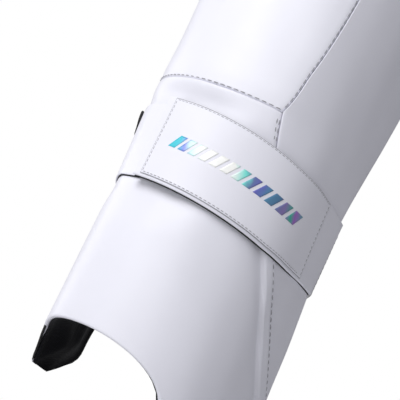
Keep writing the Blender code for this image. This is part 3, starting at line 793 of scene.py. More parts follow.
def build_shin_lower():
    """The face from the arch to the cross seam, with the welt that sweeps down its outer side."""
    layout = Layout(
        INNER_SEAM_GIRTH + SEAM_GAP,
        lambda height: np.minimum(sweep_seam(height) - SEAM_GAP, outer_rear(height)),
        arch, moved(cross_seam, -SEAM_GAP * MM), step=2.4 * MM,
    )
    girth, height = layout.girth, layout.height
    scale = per_degree(height)
    seam = (sweep_seam(height) - girth) * scale
    width = welt_width(height) * scale
    ahead = seam - width
    drop = ease(JUNCTION_HEIGHT - height, 10.0 * MM, 62.0 * MM)
    behind = np.clip(-ahead / np.maximum(width, 1e-5), 0.0, 1.0)
    rise = 1.2 * MM * ease(-ahead, -0.3 * MM, 1.3 * MM) + 0.5 * MM * behind
    valley = 1.5 * MM * np.exp(-np.square(np.maximum(ahead, 0.0) / (8.0 * MM)))
    valley = valley * ease(ahead, -1.0 * MM, 0.2 * MM)
    stitch_valley = 0.55 * MM * np.exp(-np.square((seam - 2.1 * MM) / (1.1 * MM)))
    relief = (valley - rise + stitch_valley + rolled(seam, 1.6 * MM, 1.3 * MM)) * drop
    relief += junction_roll(seam) * (1.0 - drop) - corner_rise(height, seam, FACE_REACH)
    relief += rolled(layout.from_top, 2.0 * MM, 0.5 * MM) + rolled(layout.from_left, 3.0 * MM, 0.8 * MM)
    inset = visual_channel(girth, height) + relief + soft_wave(girth, height)
    skin = skin_at(border_distance(layout, "b"), girth)
    lay("shin_front_shell", layout, "white_skin", inset, skin, "shin", "shin_face_lower")


def build_shin_upper():
    layout = Layout(
        INNER_SEAM_GIRTH + SEAM_GAP, moved(side_seam, -SEAM_GAP),
        moved(cross_seam, SEAM_GAP * MM), shin_top, step=3.0 * MM,
    )
    edge = layout.from_right
    inset = rolled(edge, 5.0 * MM, 1.6 * MM) + rolled(layout.from_left, 4.0 * MM, 1.0 * MM)
    inset += rolled(layout.from_bottom, 2.6 * MM, 0.7 * MM)
    inset -= 0.7 * MM * ease(layout.from_bottom, 0.0, 12.0 * MM) * ease(edge, 0.0, 14.0 * MM)
    inset -= corner_rise(layout.height, edge, FACE_REACH)
    inset += visual_channel(layout.girth, layout.height) + soft_wave(layout.girth, layout.height)
    nodes = ("shin_face_upper", "shin_panel_foam")
    lay("shin_upper_shell", layout, "white_skin", inset, SKIN, "shin", *nodes)


def build_wings():
    layout = Layout(moved(side_seam, SEAM_GAP), outer_rear, wing_foot, shin_top, step=3.0 * MM)
    seam = border_distance(layout, "lb")
    inset = rolled(border_distance(layout, "b"), 1.6 * MM, 0.4 * MM)
    inset = inset + soft_wave(layout.girth, layout.height)
    inset -= corner_rise(layout.height, seam, WING_REACH)
    radius = mix(0.25 * MM, 1.5 * MM, ease(seam, 2.0 * MM, 6.0 * MM))
    skin = skin_at(layout.from_right)
    lay("outer_wing_shell", layout, "white_skin", inset, skin, "shin", "outer_wing_face", radius=radius)
    layout = Layout(inner_rear, INNER_SEAM_GIRTH - SEAM_GAP, 0.3 * MM, shin_top, step=3.5 * MM)
    inset = rolled(layout.from_right, 3.0 * MM, 0.8 * MM) + soft_wave(layout.girth, layout.height)
    inset += visual_channel(layout.girth, layout.height)
    skin = skin_at(border_distance(layout, "lb"), layout.girth)
    lay("inner_wing_shell", layout, "white_skin", inset, skin, "shin", "inner_wing_face")


def core_inset(girth, height):
    channel = CHANNEL_DEPTH * ease(height, 0.074, 0.124) * ease(np.abs(girth + 2.0), 84.0, 68.5)
    return SKIN + 0.6 * MM + channel


def build_shin_inside():
    """The foam core stops short of the free edges, where the lining comes up to meet the skin."""
    layout = Layout(
        moved(inner_rear, 0.15), moved(outer_rear, -0.6),
        lambda girth: arch(girth) + 0.3 * MM * ease(girth, -60.0, -50.0),
        moved(shin_top, -0.4 * MM), step=4.5 * MM,
    )

    def lining_inset(asked):
        full = core_inset(asked.girth, asked.height) + LINING_DEPTH
        free = ease(border_distance(layout, "lrb", asked), 0.0, PINCH_REACH)
        hinge = ease(border_distance(layout, "t", asked), 0.0, HINGE_REACH)
        return np.minimum(mix(hem_at(asked.girth) + 0.2 * MM, full, free), mix(HINGE_TUCK, full, hinge))

    inset = lining_inset(layout)
    lay("shin_inner_lining", layout, "black_mesh", inset, LINING, "shin", "shin_lining")
    core = Layout(
        moved(inner_rear, 12.0), moved(outer_rear, -12.0),
        moved(arch, 14.0 * MM), moved(shin_top, -7.0 * MM), step=6.0 * MM,
    )
    start = core_inset(core.girth, core.height)
    depth = np.maximum(lining_inset(core) - FOAM_CLEARANCE - start, 0.8 * MM)
    piece = lay("shin_core_foam", core, "foam", start, depth, "shin", "shin_foam_core")


def rear_piping(name, node, rear, body, low, high, inset, material="white_piping", finish="white_face"):
    heights = np.arange(low, high, 4.0 * MM)
    girths = rear(heights) + math.copysign(0.9, rear(0.3))
    piece = sweep(name, on_pad(girths, heights, inset), PIPING, material)
    place_piece(piece, body, node, finish=finish)


def upright_stitches(name, girth_at, aside, low, high, inset):
    """A row of stitches beside a line up the shin, this far from it."""
    heights = np.arange(low, high, 3.0 * MM)
    girths = girth_at(heights) + aside / per_degree(heights)
    if girth_at in (side_seam, sweep_seam):
        inset = inset - corner_rise(heights, abs(aside), FACE_REACH)
    stitches(name, "shin", girths, heights, inset)


def build_shin_trim():
    high = shin_top(120.0)
    rear_piping("outer_wing_piping", "outer_wing_binding", outer_rear, "shin", 0.016, high, PIPING_INSET)
    rear_piping(
        "inner_wing_piping", "inner_wing_binding", moved(inner_rear, 1.2), "shin", 0.012,
        shin_top(-112.0), 1.6 * MM, "black_backing", "black_lining",
    )
    girths = np.linspace(-37.0, -ARCH_HALF_ANGLE + 0.02, 80)
    inset = 1.15 * MM - 0.7 * MM * ease(girths, -38.0, -49.0)
    line = on_pad(girths, arch(girths) + 0.1 * MM, inset)
    piece = sweep("inner_foot_piping", line, 0.95 * MM, "black_backing")
    place_piece(piece, "shin", finish="black_lining")
    girths = np.linspace(INNER_SEAM_GIRTH + 2.0, SEAM_GIRTH - 1.0, 120)
    seam = cross_seam(girths)
    tuck = visual_channel(girths, seam)
    tuck -= corner_rise(seam, (SEAM_GIRTH - girths) * per_degree(seam), FACE_REACH)
    stitches("cross_seam_stitches", "shin", girths, seam + 1.0 * MM, 0.05 * MM + tuck)
    top = shin_top(55.0) - 4.0 * MM
    split = 0.186
    for name, line, aside, low, high, inset in (
        ("side_seam_stitches", side_seam, -1.3, JUNCTION_HEIGHT + 2.0 * MM, top, 0.32),
        ("sweep_seam_stitches", sweep_seam, -2.1, 0.045, split, -1.25),
        ("junction_stitches", sweep_seam, -1.2, split, JUNCTION_HEIGHT - 2.0 * MM, 0.7),
        ("junction_stitches_front", sweep_seam, -3.0, split, JUNCTION_HEIGHT - 4.0 * MM, 0.36),
    ):
        upright_stitches(name, line, aside * MM, low, high, inset * MM)
    inner_top = shin_top(INNER_SEAM_GIRTH) - 5.0 * MM
    for name, aside in (("inner_seam_stitches_front", 2.0), ("inner_seam_stitches_rear", -2.0)):
        for part, low, high in (("_low", 0.03, 0.132), ("_high", 0.205, inner_top)):
            upright_stitches(name + part, level(INNER_SEAM_GIRTH), aside * MM, low, high, 0.12 * MM)


# ---- straps
def calf_ends():
    """Girths of the calf strap's inner and outer end."""
    return float(inner_rear(STRAP_LEVEL)) - 3.2, float(outer_rear(STRAP_LEVEL)) + 3.4


def band_line(offset):
    return moved(band_middle, offset)


def hugging(girth):
    """The band comes in closer to the wing towards its sewn end."""
    return 3.0 * MM * ease(girth, 66.0, 104.0)


def lower_edge(offset):
    """The lower edge comes up a little towards the sewn end."""
    last = calf_ends()[1] - 0.4
    return lambda girth: band_middle(girth) + offset + 3.2 * MM * ease(girth, last - 50.0, last)


def loop_inset(layout):
    """The loop strap lies in the channel, a little prouder along its lower edge than its upper one."""
    share = (layout.height - band_middle(layout.girth)) / LOOP_HEIGHT + 0.5
    lift = mix(LOOP_LIFT, mix(2.0 * MM, 1.9 * MM, share), ease(layout.girth, -5.0, -25.0))
    return visual_channel(layout.girth, layout.height) - lift


def build_calf_loop(inner):
    half = 0.5 * LOOP_HEIGHT
    layout = Layout(inner + 0.6, 26.0, band_line(-half), band_line(half))
    inset = loop_inset(layout)
    lay("calf_loop_webbing", layout, "white_strap", inset, LOOP_WEBBING, "shin", "calf_loop_strap")
    # Black backing of the loop strap. It reaches 0.7 mm below the webbing's lower edge and stops short of
    # its upper one. It is partly the real black backing and partly painted shade along the strap's lower
    # edge.
    low = Layout(inner + 0.8, 25.0, band_line(-half - 0.7 * MM), band_line(half - 0.6 * MM))
    lay("calf_loop_backing_and_shade", low, "black_backing", loop_inset(low) + 1.35 * MM, BACKING, "shin")
    tab = Layout(
        -76.0, lambda height: -48.5 + 160.0 * (height - 0.185),
        band_line(10.0 * MM), band_line(27.0 * MM),
    )
    thick = mix(1.0 * MM, 2.3 * MM, ease(tab.height - band_middle(tab.girth), 10.0 * MM, 24.0 * MM))
    lay("calf_loop_tab", tab, "black_backing", loop_inset(tab) - thick + 0.1 * MM, thick, "shin")


def patch_end(height):
    """The rear end of the patch leans back towards the bottom."""
    return PATCH_END + 2.0 - 75.0 * (height - band_middle(PATCH_END))


def build_calf_strap():
    inner, outer = calf_ends()
    build_calf_loop(inner)
    half = 0.5 * BAND_HEIGHT
    outside = -BAND_LIFT - BAND_THICKNESS
    body = "calf_strap_band"
    band = Layout(BAND_END, outer - 0.4, lower_edge(-half), band_line(half), step=3.0 * MM)
    bulge = 0.25 * MM * ease(border_distance(band), 0.0, 8.0 * MM)
    inset = outside - bulge + hugging(band.girth)
    thick = BAND_THICKNESS - BACKING
    lay("calf_band_face", band, "white_strap", inset, thick, body, "calf_band", radius=1.1 * MM)
    # Black backing of the band. It reaches 0.5 mm below the face's lower edge and stops short of its
    # upper one, so a dark line shows only under the band. It is partly the real black backing and partly
    # painted shade under the band's edge.
    back = Layout(BAND_END + 0.3, outer - 0.1, lower_edge(-half - 0.5 * MM), band_line(half - 0.6 * MM))
    inset = outside + BAND_THICKNESS - 0.85 * MM + 0.8 * hugging(back.girth)
    lay("calf_band_backing_and_shade", back, "black_backing", inset, BACKING, body)
    tape = Layout(BAND_END + 3.0, 22.0, band_line(-half + 7.0 * MM), band_line(half - 7.0 * MM))
    inset = -BAND_LIFT + 0.2 * MM
    lay("calf_hooks", tape, "hook_tape", inset, 1.4 * MM, body, "calf_hook_tape")

    low, high = -half + PATCH_MARGIN, half - PATCH_MARGIN + 0.9 * MM
    patch = Layout(PATCH_START, patch_end, lower_edge(low), band_line(high), step=3.0 * MM)
    inset = outside - PATCH_DEPTH + hugging(patch.girth)
    node = "calf_band_patch"
    lay("calf_band_panel", patch, "white_strap", inset, PATCH_DEPTH, body, node, radius=0.5 * MM)
    # A thin grey rim in thread material round the foot of the panel's edge: painted shade of the groove
    # round the panel.
    rim = Layout(
        PATCH_START - 0.42, moved(patch_end, 0.5), lower_edge(low - 0.4 * MM),
        band_line(high + 0.5 * MM),
    )
    inset = outside - 0.62 * MM + hugging(rim.girth)
    lay("calf_panel_shade_rim", rim, "thread", inset, 0.5 * MM, body, finish="white_strap")

    girths = np.linspace(PATCH_START + 1.2, PATCH_END - 1.2, 120)
    low_row = lower_edge(low + 1.0 * MM)
    rows = [
        ("panel_stitches_low", girths, low_row(girths), 0.24 * MM),
        ("panel_stitches_high", girths, band_middle(girths) + high - 0.9 * MM, 0.19 * MM),
    ]
    for name, line in (
        ("panel_stitches_end", level(PATCH_START + 0.9)), ("panel_stitches_rear", moved(patch_end, -1.2)),
    ):
        top = band_middle(line(0.155)) + high - 1.6 * MM
        heights = np.linspace(low_row(line(0.13)), top, 30)
        rows.append((name, line(heights), heights, 0.19 * MM))
    for name, girths, heights, radius in rows:
        inset = outside - 1.05 * MM + hugging(girths)
        stitches(name, body, girths, heights, inset, "white_strap", PATCH_PITCH, radius)
    build_bars(outside - PATCH_DEPTH)


def build_bars(face):
    """Plain slanted bars of foil in place of any lettering."""
    count = 12
    shares = 1.0 - np.power(1.0 - np.arange(count + 1) / count, 0.85)
    starts = BADGE_START + (BADGE_END - BADGE_START) * shares
    tall = 0.5 * 9.6 * MM
    skew, filled = 4.5, 0.68
    rows, columns = 9, 7
    rise = np.linspace(-tall, tall, rows)[:, None] + np.zeros((1, columns))
    for number in range(count):
        width = (starts[number + 1] - starts[number]) * filled
        girth = starts[number] + skew * 0.5 * rise / tall + np.linspace(0.0, width, columns)[None, :]
        height = band_middle(girth) + rise
        inset = face + hugging(girth)
        outer = on_pad(girth, height, inset - 0.16 * MM)
        inner = on_pad(girth, height, inset + 0.1 * MM)
        bar = closed_sheet("foil_bar_%02d" % (number + 1), outer, inner, "foil")
        nodes = ("calf_band_badge",) if number == 0 else ()
        place_piece(bar, "calf_strap_band", *nodes, finish="badge")


# ---- knee and top sections
HINGE_TUCK = 6.2 * MM
HINGE_REACH = 12.0 * MM
REAR_REACH = 16.0 * MM
REAR_TUCK = HEM + 0.3 * MM
SECTION_FULL = 19.0 * MM
TOP_FULL = 16.9 * MM
TOP_CHANNELS = (-34.0, 34.0)
KNEE_RISE = (TOP_HINGE_HEIGHT - KNEE_HINGE_HEIGHT - 2.0 * FLEX_GAP) / 3.0


def padded_inside(section, rear, low, high, full, free_sides, hinge_sides, start):
    """Lining and foam of a section. The lining comes out towards the skin along every edge."""
    left, right = level(-rear + 0.3), level(rear - 0.3)
    bottom, top = moved(low, 0.4 * MM), moved(high, -0.4 * MM)

    def lining_inset(layout, pull):
        inset = full
        pinches = ((free_sides, REAR_TUCK, REAR_REACH), (hinge_sides, HINGE_TUCK, HINGE_REACH))
        for sides, tuck, reach in pinches:
            free = border_distance(layout, sides) + pull
            inset = np.minimum(inset, mix(tuck, full, ease(free, 0.0, reach)))
        return inset

    layout = Layout(left, right, bottom, top, step=4.5 * MM)
    inset = lining_inset(layout, 0.0)
    lay(section + "_inner_lining", layout, "black_mesh", inset, LINING, section, section + "_lining")
    pull = 7.0 * MM
    core = Layout(
        lambda height: left(height) + pull / per_degree(height),
        lambda height: right(height) - pull / per_degree(height),
        moved(bottom, pull), moved(top, -pull), step=6.0 * MM,
    )
    outer = start(core.girth, core.height)
    depth = np.maximum(lining_inset(core, pull) - FOAM_CLEARANCE - outer, 1.0 * MM)
    node = section + "_foam_core"
    lay(section + "_core_foam", core, "foam", outer, depth, section, node)


def roll_bulge(girth, height):
    """Crown of the knee rolls, three between the hinges."""
    place = (height - KNEE_HINGE_HEIGHT - FLEX_GAP) / KNEE_RISE
    share = np.clip(place - np.clip(np.floor(place), 0.0, 2.0), 0.0, 1.0)
    crown = np.sqrt(4.0 * share * (1.0 - share))
    return ROLL_CROWN * crown * ease(np.abs(girth), ROLL_REACH, ROLL_REACH - 16.0)


def build_knee_rolls():
    for index, part in enumerate(("lower", "middle", "upper")):
        low = KNEE_HINGE_HEIGHT + FLEX_GAP + index * KNEE_RISE
        bottom = knee_bottom if index == 0 else low + 0.2 * MM
        top = knee_top if index == 2 else low + KNEE_RISE - 0.2 * MM
        layout = Layout(-ROLL_REACH, ROLL_REACH, bottom, top, step=3.0 * MM)
        inset = soft_wave(layout.girth, layout.height) - roll_bulge(layout.girth, layout.height)
        ends = rolled(border_distance(layout, "lr"), 3.0 * MM, 1.2 * MM)
        inset += ends + rolled(border_distance(layout, "bt"), 2.5 * MM, 1.0 * MM)
        name = "knee_roll_" + part
        lay(name + "_shell", layout, "white_skin", inset, SKIN, "knee", name, name + "_foam")
        if index:
            girths = np.linspace(-ROLL_REACH + 2.0, ROLL_REACH - 2.0, 120)
            heights = low + 1.9 * MM + 0.0 * girths
            stitches(name + "_stitches", "knee", girths, heights, 0.5 * MM - roll_bulge(girths, heights))


def section_piping(section, side, name, rear, low, high):
    """The bound rear edge of one side of a section."""
    edge = level(side * rear)
    rear_piping(name + "_piping", name + "_binding", edge, section, low + 1.0 * MM, high, PIPING_INSET)


SIDES = ((1.0, "outer_"), (-1.0, "inner_"))


def build_knee():
    build_knee_rolls()
    start = ROLL_REACH + 0.4
    for side, prefix in SIDES:
        name = prefix + "knee_side"
        seam, free = ("l", "btr") if side > 0.0 else ("r", "btl")
        left, right = sorted((side * start, side * KNEE_REAR))
        layout = Layout(left, right, knee_bottom, knee_top, step=4.0 * MM)
        inset = rolled(border_distance(layout, seam), 3.0 * MM, 1.2 * MM)
        inset = inset + soft_wave(layout.girth, layout.height)
        skin = skin_at(border_distance(layout, free))
        lay(name + "_shell", layout, "white_skin", inset, skin, "knee", name, name + "_foam")
        heights = np.arange(KNEE_HINGE_HEIGHT + 8.0 * MM, TOP_HINGE_HEIGHT - 20.0 * MM, 3.0 * MM)
        girths = side * (start + 2.2 * MM / per_degree(heights))
        stitches(name + "_stitches", "knee", girths, heights, 0.2 * MM)

    def core_start(girth, height):
        return SKIN + 0.6 * MM - roll_bulge(girth, height)

    padded_inside("knee", KNEE_REAR, knee_bottom, knee_top, SECTION_FULL, "lr", "bt", core_start)
    for side, prefix in SIDES:
        low, high = knee_bottom(side * KNEE_REAR), knee_top(side * KNEE_REAR)
        section_piping("knee", side, prefix + "knee", KNEE_REAR, low, high)


def build_top():
    layout = Layout(-TOP_REAR, TOP_REAR, top_bottom, crest, step=4.0 * MM)
    girth, height = layout.girth, layout.height
    groove = np.zeros_like(girth)
    for place in TOP_CHANNELS:
        away = np.abs(girth - place) * per_degree(height)
        groove += 1.5 * MM * np.exp(-np.square(away / (2.6 * MM)))
    crown = -1.2 * MM * ease(border_distance(layout), 0.0, 16.0 * MM)
    inset = crown + groove * ease(border_distance(layout, "bt"), 2.0 * MM, 14.0 * MM)
    inset = inset + soft_wave(girth, height)
    lay("top_shell", layout, "white_skin", inset, skin_at(border_distance(layout)), "top", "top_face")

    def core_start(girth, height):
        return SKIN + 1.9 * MM + 0.0 * girth

    padded_inside("top", TOP_REAR, top_bottom, crest, TOP_FULL, "lrt", "b", core_start)
    for side, prefix in SIDES:
        low = top_bottom(side * TOP_REAR)
        section_piping("top", side, prefix + "top", TOP_REAR, low, TOTAL_HEIGHT - CREST_FALL)
    girths = np.linspace(-TOP_REAR + 2.0, TOP_REAR - 2.0, 90)
    line = on_pad(girths, crest(girths) - 0.6 * MM, PIPING_INSET)
    piece = sweep("top_crest_piping", line, 2.0 * MM, "white_piping")
    place_piece(piece, "top", finish="white_face")
    for number, place in enumerate(TOP_CHANNELS):
        heights = np.linspace(0.566, 0.676, 40)
        stitches("top_channel_stitches_%d" % (number + 1), "top", place, heights, 0.25 * MM)
    girths = np.linspace(-TOP_REAR + 5.0, TOP_REAR - 5.0, 160)
    stitches("top_crest_stitches", "top", girths, crest(girths) - 7.0 * MM, -0.55 * MM)


def build_gussets():
    """Panels of black mesh that join the sections behind each hinge."""
    spans = (
        ("knee_gusset", "shin", "knee", shin_top, knee_bottom, KNEE_HINGE_HEIGHT, 0.2, 74.0),
        ("top_gusset", "knee", "top", knee_top, top_bottom, TOP_HINGE_HEIGHT, 0.0, 70.0),
    )
    for name, below, above, low, high, hinge, lean, reach in spans:
        layout = Layout(-reach, reach, moved(low, -6.0 * MM), moved(high, 6.0 * MM), step=2.5 * MM)
        piece = slab(name, layout, "black_mesh", HEM + 0.6 * MM, 1.5 * MM)
        front = float(on_pad(0.0, hinge, 0.0)[1])
        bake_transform(piece)


# ---- knee strap and the rear of both straps
RIB_PITCH = 4.2 * MM


class RearArc:
    """The arc behind the leg along which a strap's elastic and pad run."""

    def __init__(self, inner, outer, middle, bulge, lift):
        start = on_pad(inner, middle, -2.0 * MM)
        end = on_pad(outer, middle, -lift)
        self.middle = middle
        chord = (end - start)[:2]
        length = float(np.hypot(*chord))
        self.along = chord / length
        self.across = np.array([-self.along[1], self.along[0]])
        self.radius = (0.25 * length * length + bulge * bulge) / (2.0 * bulge)
        self.centre = 0.5 * (start + end)[:2] + self.across * (bulge - self.radius)
        self.half_angle = math.asin(min(0.5 * length / self.radius, 1.0))
        if bulge > self.radius:
            self.half_angle = math.pi - self.half_angle

    def at(self, share, rise, offset):
        """Points at this share of the arc, this far above its middle and outside its line."""
        share, rise, offset = np.broadcast_arrays(share, rise, offset)
        angle = self.half_angle * (2.0 * share - 1.0)
        reach = (self.radius + offset)[..., None]
        way = self.across * np.cos(angle)[..., None] + self.along * np.sin(angle)[..., None]
        flat = self.centre + way * reach
        return np.concatenate([flat, (self.middle + rise)[..., None]], axis=-1)

    def length(self, start, end):
        return 2.0 * self.half_angle * self.radius * (end - start)

    def slab(self, name, material, start, end, height, outer, thickness, relief=0.0, step=2.0 * MM):
        """A strip with rounded edges: its outer face lies outer from the arc's line."""
        length = self.length(start, end)
        border = FINE[FINE < 0.3 * height]

        def spaced(size):
            inside = np.arange(border[-1] + step, size - border[-1] - 0.5 * step, step)
            return np.concatenate([border, inside, (size - border)[::-1]])

        place, rise = np.meshgrid(spaced(length), spaced(height))
        edge = np.minimum(np.minimum(place, length - place), np.minimum(rise, height - rise))
        turn = round_off(edge, EDGE_SHARE * thickness)
        wave = relief * np.sin(2.0 * math.pi * rise / RIB_PITCH)
        share = mix(start, end, place / length)
        outside = self.at(share, rise - 0.5 * height, outer - turn + wave)
        inside = self.at(share, rise - 0.5 * height, outer - thickness + turn + wave)
        return closed_sheet(name, outside[:, ::-1], inside[:, ::-1], material)


def stitched_box(name, body, start, end, half, inset):
    """A rectangle of stitches on the knee strap."""
    corners = [(start, -half), (end, -half), (end, half), (start, half), (start, -half)]
    pairs = list(zip(corners, corners[1:]))
    girths = np.concatenate([np.linspace(here[0], there[0], 40) for here, there in pairs])
    heights = [KNEE_STRAP_MIDDLE + np.linspace(here[1], there[1], 40) for here, there in pairs]
    stitches(name, body, girths, np.concatenate(heights), inset, "white_strap", 3.6 * MM, 0.3 * MM)


def knee_strap():
    outer = KNEE_REAR + 3.4
    half = 22.0 * MM
    face = -LOOP_LIFT - 4.6 * MM
    low, high = KNEE_STRAP_MIDDLE - half + 3.0 * MM, KNEE_STRAP_MIDDLE + half - 3.0 * MM
    for name, node, start, end in (
        ("knee_loop_patch", "knee_loop_panel", 66.0, 92.0),
        ("knee_anchor_webbing", "knee_anchor_tab", -KNEE_REAR - 2.6, -82.0),
    ):
        layout = Layout(start, end, low, high)
        lay(name, layout, "white_strap", -LOOP_LIFT, 1.8 * MM, "knee", node)
        inset = -LOOP_LIFT - 0.05 * MM
        stitched_box(name + "_stitches", "knee", start + 1.6, end - 1.6, half - 5.2 * MM, inset)
    body = "knee_strap_band"
    layout = Layout(60.0, outer - 0.4, KNEE_STRAP_MIDDLE - half, KNEE_STRAP_MIDDLE + half)
    lay("knee_band_face", layout, "white_strap", face, 2.6 * MM, body, "knee_band")
    inset = face - 0.05 * MM
    stitched_box("knee_band_stitches", body, 61.6, outer - 2.0, half - 2.4 * MM, inset)
    layout = Layout(64.0, 90.0, low, high)
    inset = -LOOP_LIFT - 1.6 * MM
    lay("knee_hooks", layout, "hook_tape", inset, 1.3 * MM, body, "knee_hook_tape")


def rear_straps():
    calf = RearArc(*calf_ends(), float(band_middle(100.0)), 52.0 * MM, 1.8 * MM)
    knee = RearArc(-KNEE_REAR - 3.8, KNEE_REAR + 3.4, KNEE_STRAP_MIDDLE, 80.0 * MM, 5.8 * MM)
    for prefix, arc, height in (("calf", calf, 50.0 * MM), ("knee", knee, 38.0 * MM)):
        body = prefix + "_strap_rear"
        piece = arc.slab(
            prefix + "_elastic_band", "elastic", 0.012, 0.976, height, 0.0, 2.0 * MM,
            relief=0.12 * MM, step=0.9 * MM,
        )
        place_piece(piece, body, prefix + "_rear_elastic", finish="elastic")
        pad = arc.slab(
            prefix + "_rear_cushion", "black_knit", 0.225, 0.775, height + 10.0 * MM,
            -3.9 * MM, 5.2 * MM, step=3.0 * MM,
        )
        pad = place_piece(swollen(pad), body, prefix + "_rear_pad", finish="black_lining")


# ---- soft goods
VOXEL = 2.6 * MM
PAD_CAP = 1.6 * MM
PAD_PRESSURE = 4.0
CLOTH_FRAMES = 20
CHANNEL_PRESS = 1.2 * MM
CHANNEL_WIDTH = 1.5 * MM


def swollen(obj):
    """Blows the pad up as cloth round a filling, moves no point beyond PAD_CAP, and smooths it."""
    material = obj.data.materials[0]
    start = obj.copy()
    start.data = obj.data.copy()
    bpy.context.scene.collection.objects.link(start)
    remesh = start.modifiers.new("remesh", "REMESH")
    remesh.mode = "VOXEL"
    remesh.voxel_size = VOXEL
    applied(start)
    rest = np.array([vertex.co for vertex in start.data.vertices])
    cloth = start.modifiers.new("cloth", "CLOTH")
    cloth.settings.use_pressure = True
    cloth.settings.uniform_pressure_force = PAD_PRESSURE
    cloth.settings.effector_weights.gravity = 0.0
    scene = bpy.context.scene
    for frame_number in range(1, CLOTH_FRAMES + 1):
        scene.frame_set(frame_number)
    graph = bpy.context.evaluated_depsgraph_get()
    blown = np.array([vertex.co for vertex in start.evaluated_get(graph).data.vertices])
    start.modifiers.remove(cloth)
    scene.frame_set(1)
    shift = blown - rest
    size = np.linalg.norm(shift, axis=1)[:, None]
    final = rest + shift * np.minimum(1.0, PAD_CAP / np.maximum(size, 1e-9))
    start.data.vertices.foreach_set("co", final.ravel())
    finer = start.modifiers.new("finer", "SUBSURF")
    finer.levels = 1
    finer.render_levels = 1
    applied(start)
    start.data.shade_smooth()
    start.data.materials.clear()
    start.data.materials.append(material)
    name = obj.name
    bpy.data.objects.remove(obj)
    start.name = name
    return start


def applied(obj):
    """Puts the result of the modifiers into the mesh itself."""
    graph = bpy.context.evaluated_depsgraph_get()
    mesh = bpy.data.meshes.new_from_object(obj.evaluated_get(graph))
    obj.modifiers.clear()
    obj.data = mesh


def quilted(obj, lines):
    """Presses sewn channels into the leg side of a pad at these heights."""
    points = np.array([vertex.co for vertex in obj.data.vertices])
    axis_y = LEG_AXIS_Y + along(CENTRE_SHIFT, points[:, 2])
    inward = np.stack([LEG_AXIS_X - points[:, 0], axis_y - points[:, 1]], axis=-1)
    distance = np.linalg.norm(inward, axis=1)
    normals = np.array([vertex.normal for vertex in obj.data.vertices])
    facing = np.clip((normals[:, :2] * inward).sum(axis=1) / np.maximum(distance, 1e-9), 0.0, 1.0)
    press = np.zeros(len(points))
    for place in lines:
        press = np.maximum(press, np.exp(-np.square((points[:, 2] - place) / CHANNEL_WIDTH)))
    shift = -inward / np.maximum(distance, 1e-9)[:, None] * (CHANNEL_PRESS * press * facing)[:, None]
    points[:, :2] += shift
    obj.data.vertices.foreach_set("co", points.ravel())
    obj.data.update()
    return obj


def build_pads():
    """Black comfort pads on the lining: swollen, then quilted."""
    full = {"knee": SECTION_FULL, "top": TOP_FULL}
    pads = (
        ("inner_shin_cushion", "inner_shin_bolster", "shin", (-83.0, -55.0), (0.093, 0.327), 10.0, 4),
        ("outer_shin_cushion", "outer_shin_bolster", "shin", (55.0, 83.0), (0.093, 0.327), 10.0, 4),
        ("shin_cushion", "shin_comfort_pad", "shin", (-25.0, 25.0), (0.118, 0.342), 8.0, 5),
        ("instep_cushion", "instep_pad", "shin", (-35.0, 35.0), (0.043, 0.086), 8.0, 1),
        ("knee_cup_cushion", "knee_cup_pad", "knee", (-37.0, 37.0), (0.420, 0.516), 11.0, 3),
        ("inner_knee_cushion", "inner_knee_bolster", "knee", (-79.0, -47.0), (0.420, 0.501), 12.0, 2),
        ("outer_knee_cushion", "outer_knee_bolster", "knee", (47.0, 79.0), (0.420, 0.501), 12.0, 2),
        ("top_cushion", "top_comfort_pad", "top", (-39.0, 39.0), (0.580, 0.654), 8.0, 2),
    )
    for name, node, body, (start, end), (low, high), depth, channels in pads:
        layout = Layout(start, end, low, high, step=4.0 * MM)
        if body == "shin":
            inset = core_inset(layout.girth, layout.height) + LINING_DEPTH + LINING
        else:
            inset = full[body] + LINING
        thickness = (depth - 2.0) * MM * (0.75 + 0.25 * ease(border_distance(layout), 0.0, 12.0 * MM))
        pad = swollen(slab(name, layout, "black_knit", inset + 0.9 * MM, thickness))
        lines = [mix(low, high, (step + 1.0) / (channels + 1.0)) for step in range(channels)]
        place_piece(quilted(pad, lines), body, node, finish="black_lining")


# ---- stage
def build_floor():
    size, drop = 2.2, -0.4 * MM
    corners = [(-size, -size, drop), (size, -size, drop), (size, size, drop), (-size, size, drop)]
    mesh = bpy.data.meshes.new("studio_floor")
    mesh.from_pydata(corners, [], [(0, 1, 2, 3)])
    mesh.materials.append(MATERIALS["studio_floor"])
    floor = bpy.data.objects.new("studio_floor", mesh)
    bpy.context.scene.collection.objects.link(floor)


def build_world():
    """White behind the object, and a softer grey light from all round."""
    world = bpy.data.worlds.new("studio")
    world.use_nodes = True
    bpy.context.scene.world = world
    tree = world.node_tree
    tree.nodes.clear()
    path = tree.nodes.new("ShaderNodeLightPath")
    both = tree.nodes.new("ShaderNodeMixShader")
    output = tree.nodes.new("ShaderNodeOutputWorld")
    tree.links.new(path.outputs["Is Camera Ray"], both.inputs["Fac"])
    grounds = ((1, (0.985, 0.985, 1.03, 1.0), AMBIENT), (2, (1.0, 1.0, 1.0, 1.0), 1.0))
    for socket, color, strength in grounds:
        shine = tree.nodes.new("ShaderNodeBackground")
        shine.inputs["Color"].default_value = color
        shine.inputs["Strength"].default_value = strength
        tree.links.new(shine.outputs["Background"], both.inputs[socket])
    tree.links.new(both.outputs["Shader"], output.inputs["Surface"])


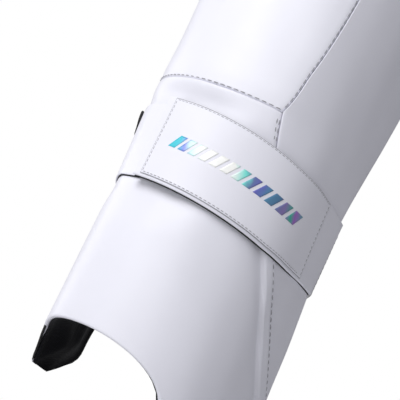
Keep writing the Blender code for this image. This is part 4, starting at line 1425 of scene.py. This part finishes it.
def area_light(name, azimuth, elevation, distance, size, power):
    light = bpy.data.lights.new(name, "AREA")
    light.shape = "DISK"
    light.size = size
    light.energy = power
    obj = bpy.data.objects.new(name, light)
    turn, rise = math.radians(azimuth), math.radians(elevation)
    target = Vector((0.0, 0.0, LIGHT_TARGET))
    way = Vector((math.sin(turn) * math.cos(rise), -math.cos(turn) * math.cos(rise), math.sin(rise)))
    obj.location = target + way * distance
    obj.rotation_euler = (-way).to_track_quat("-Z", "Y").to_euler()
    bpy.context.scene.collection.objects.link(obj)


def build_camera():
    """Below the foot end, at the outer front of the pad, rolled so that the shin leans to the left."""
    turn, roll = math.radians(CAMERA_AZIMUTH), math.radians(CAMERA_ROLL)
    place = Vector((
        LEG_AXIS_X + CAMERA_DISTANCE * math.sin(turn),
        LEG_AXIS_Y - CAMERA_DISTANCE * math.cos(turn),
        CAMERA_HEIGHT,
    ))
    target = Vector((
        LEG_AXIS_X + CAMERA_ASIDE * math.cos(turn),
        LEG_AXIS_Y + CAMERA_ASIDE * math.sin(turn),
        TARGET_HEIGHT,
    ))
    forward = (target - place).normalized()
    right = forward.cross(Vector((0.0, 0.0, 1.0))).normalized()
    up = right.cross(forward)
    camera_right = right * math.cos(roll) + up * math.sin(roll)
    camera_up = up * math.cos(roll) - right * math.sin(roll)
    data = bpy.data.cameras.new("camera")
    data.lens = CAMERA_LENS
    data.sensor_width = 36.0
    data.clip_start = 0.01
    camera = bpy.data.objects.new("camera", data)
    turned = Matrix((camera_right, camera_up, -forward)).transposed().to_4x4()
    camera.matrix_world = Matrix.Translation(place) @ turned
    bpy.context.scene.collection.objects.link(camera)
    bpy.context.scene.camera = camera


def main():
    make_materials()
    build_shin_lower()
    build_shin_upper()
    build_wings()
    build_shin_inside()
    build_shin_trim()
    build_calf_strap()
    build_knee()
    build_top()
    build_gussets()
    knee_strap()
    rear_straps()
    build_pads()
    for name in ("shin_stiffener_plate", "top_stiffener_plate"):
        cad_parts[name].material_slots[0].material = MATERIALS["plate"]
    build_floor()
    build_world()
    area_light("key", *KEY_LIGHT)
    area_light("rim", *RIM_LIGHT)
    area_light("back", *BACK_LIGHT)
    build_camera()
    bpy.context.scene.view_settings.view_transform = "Standard"


main()
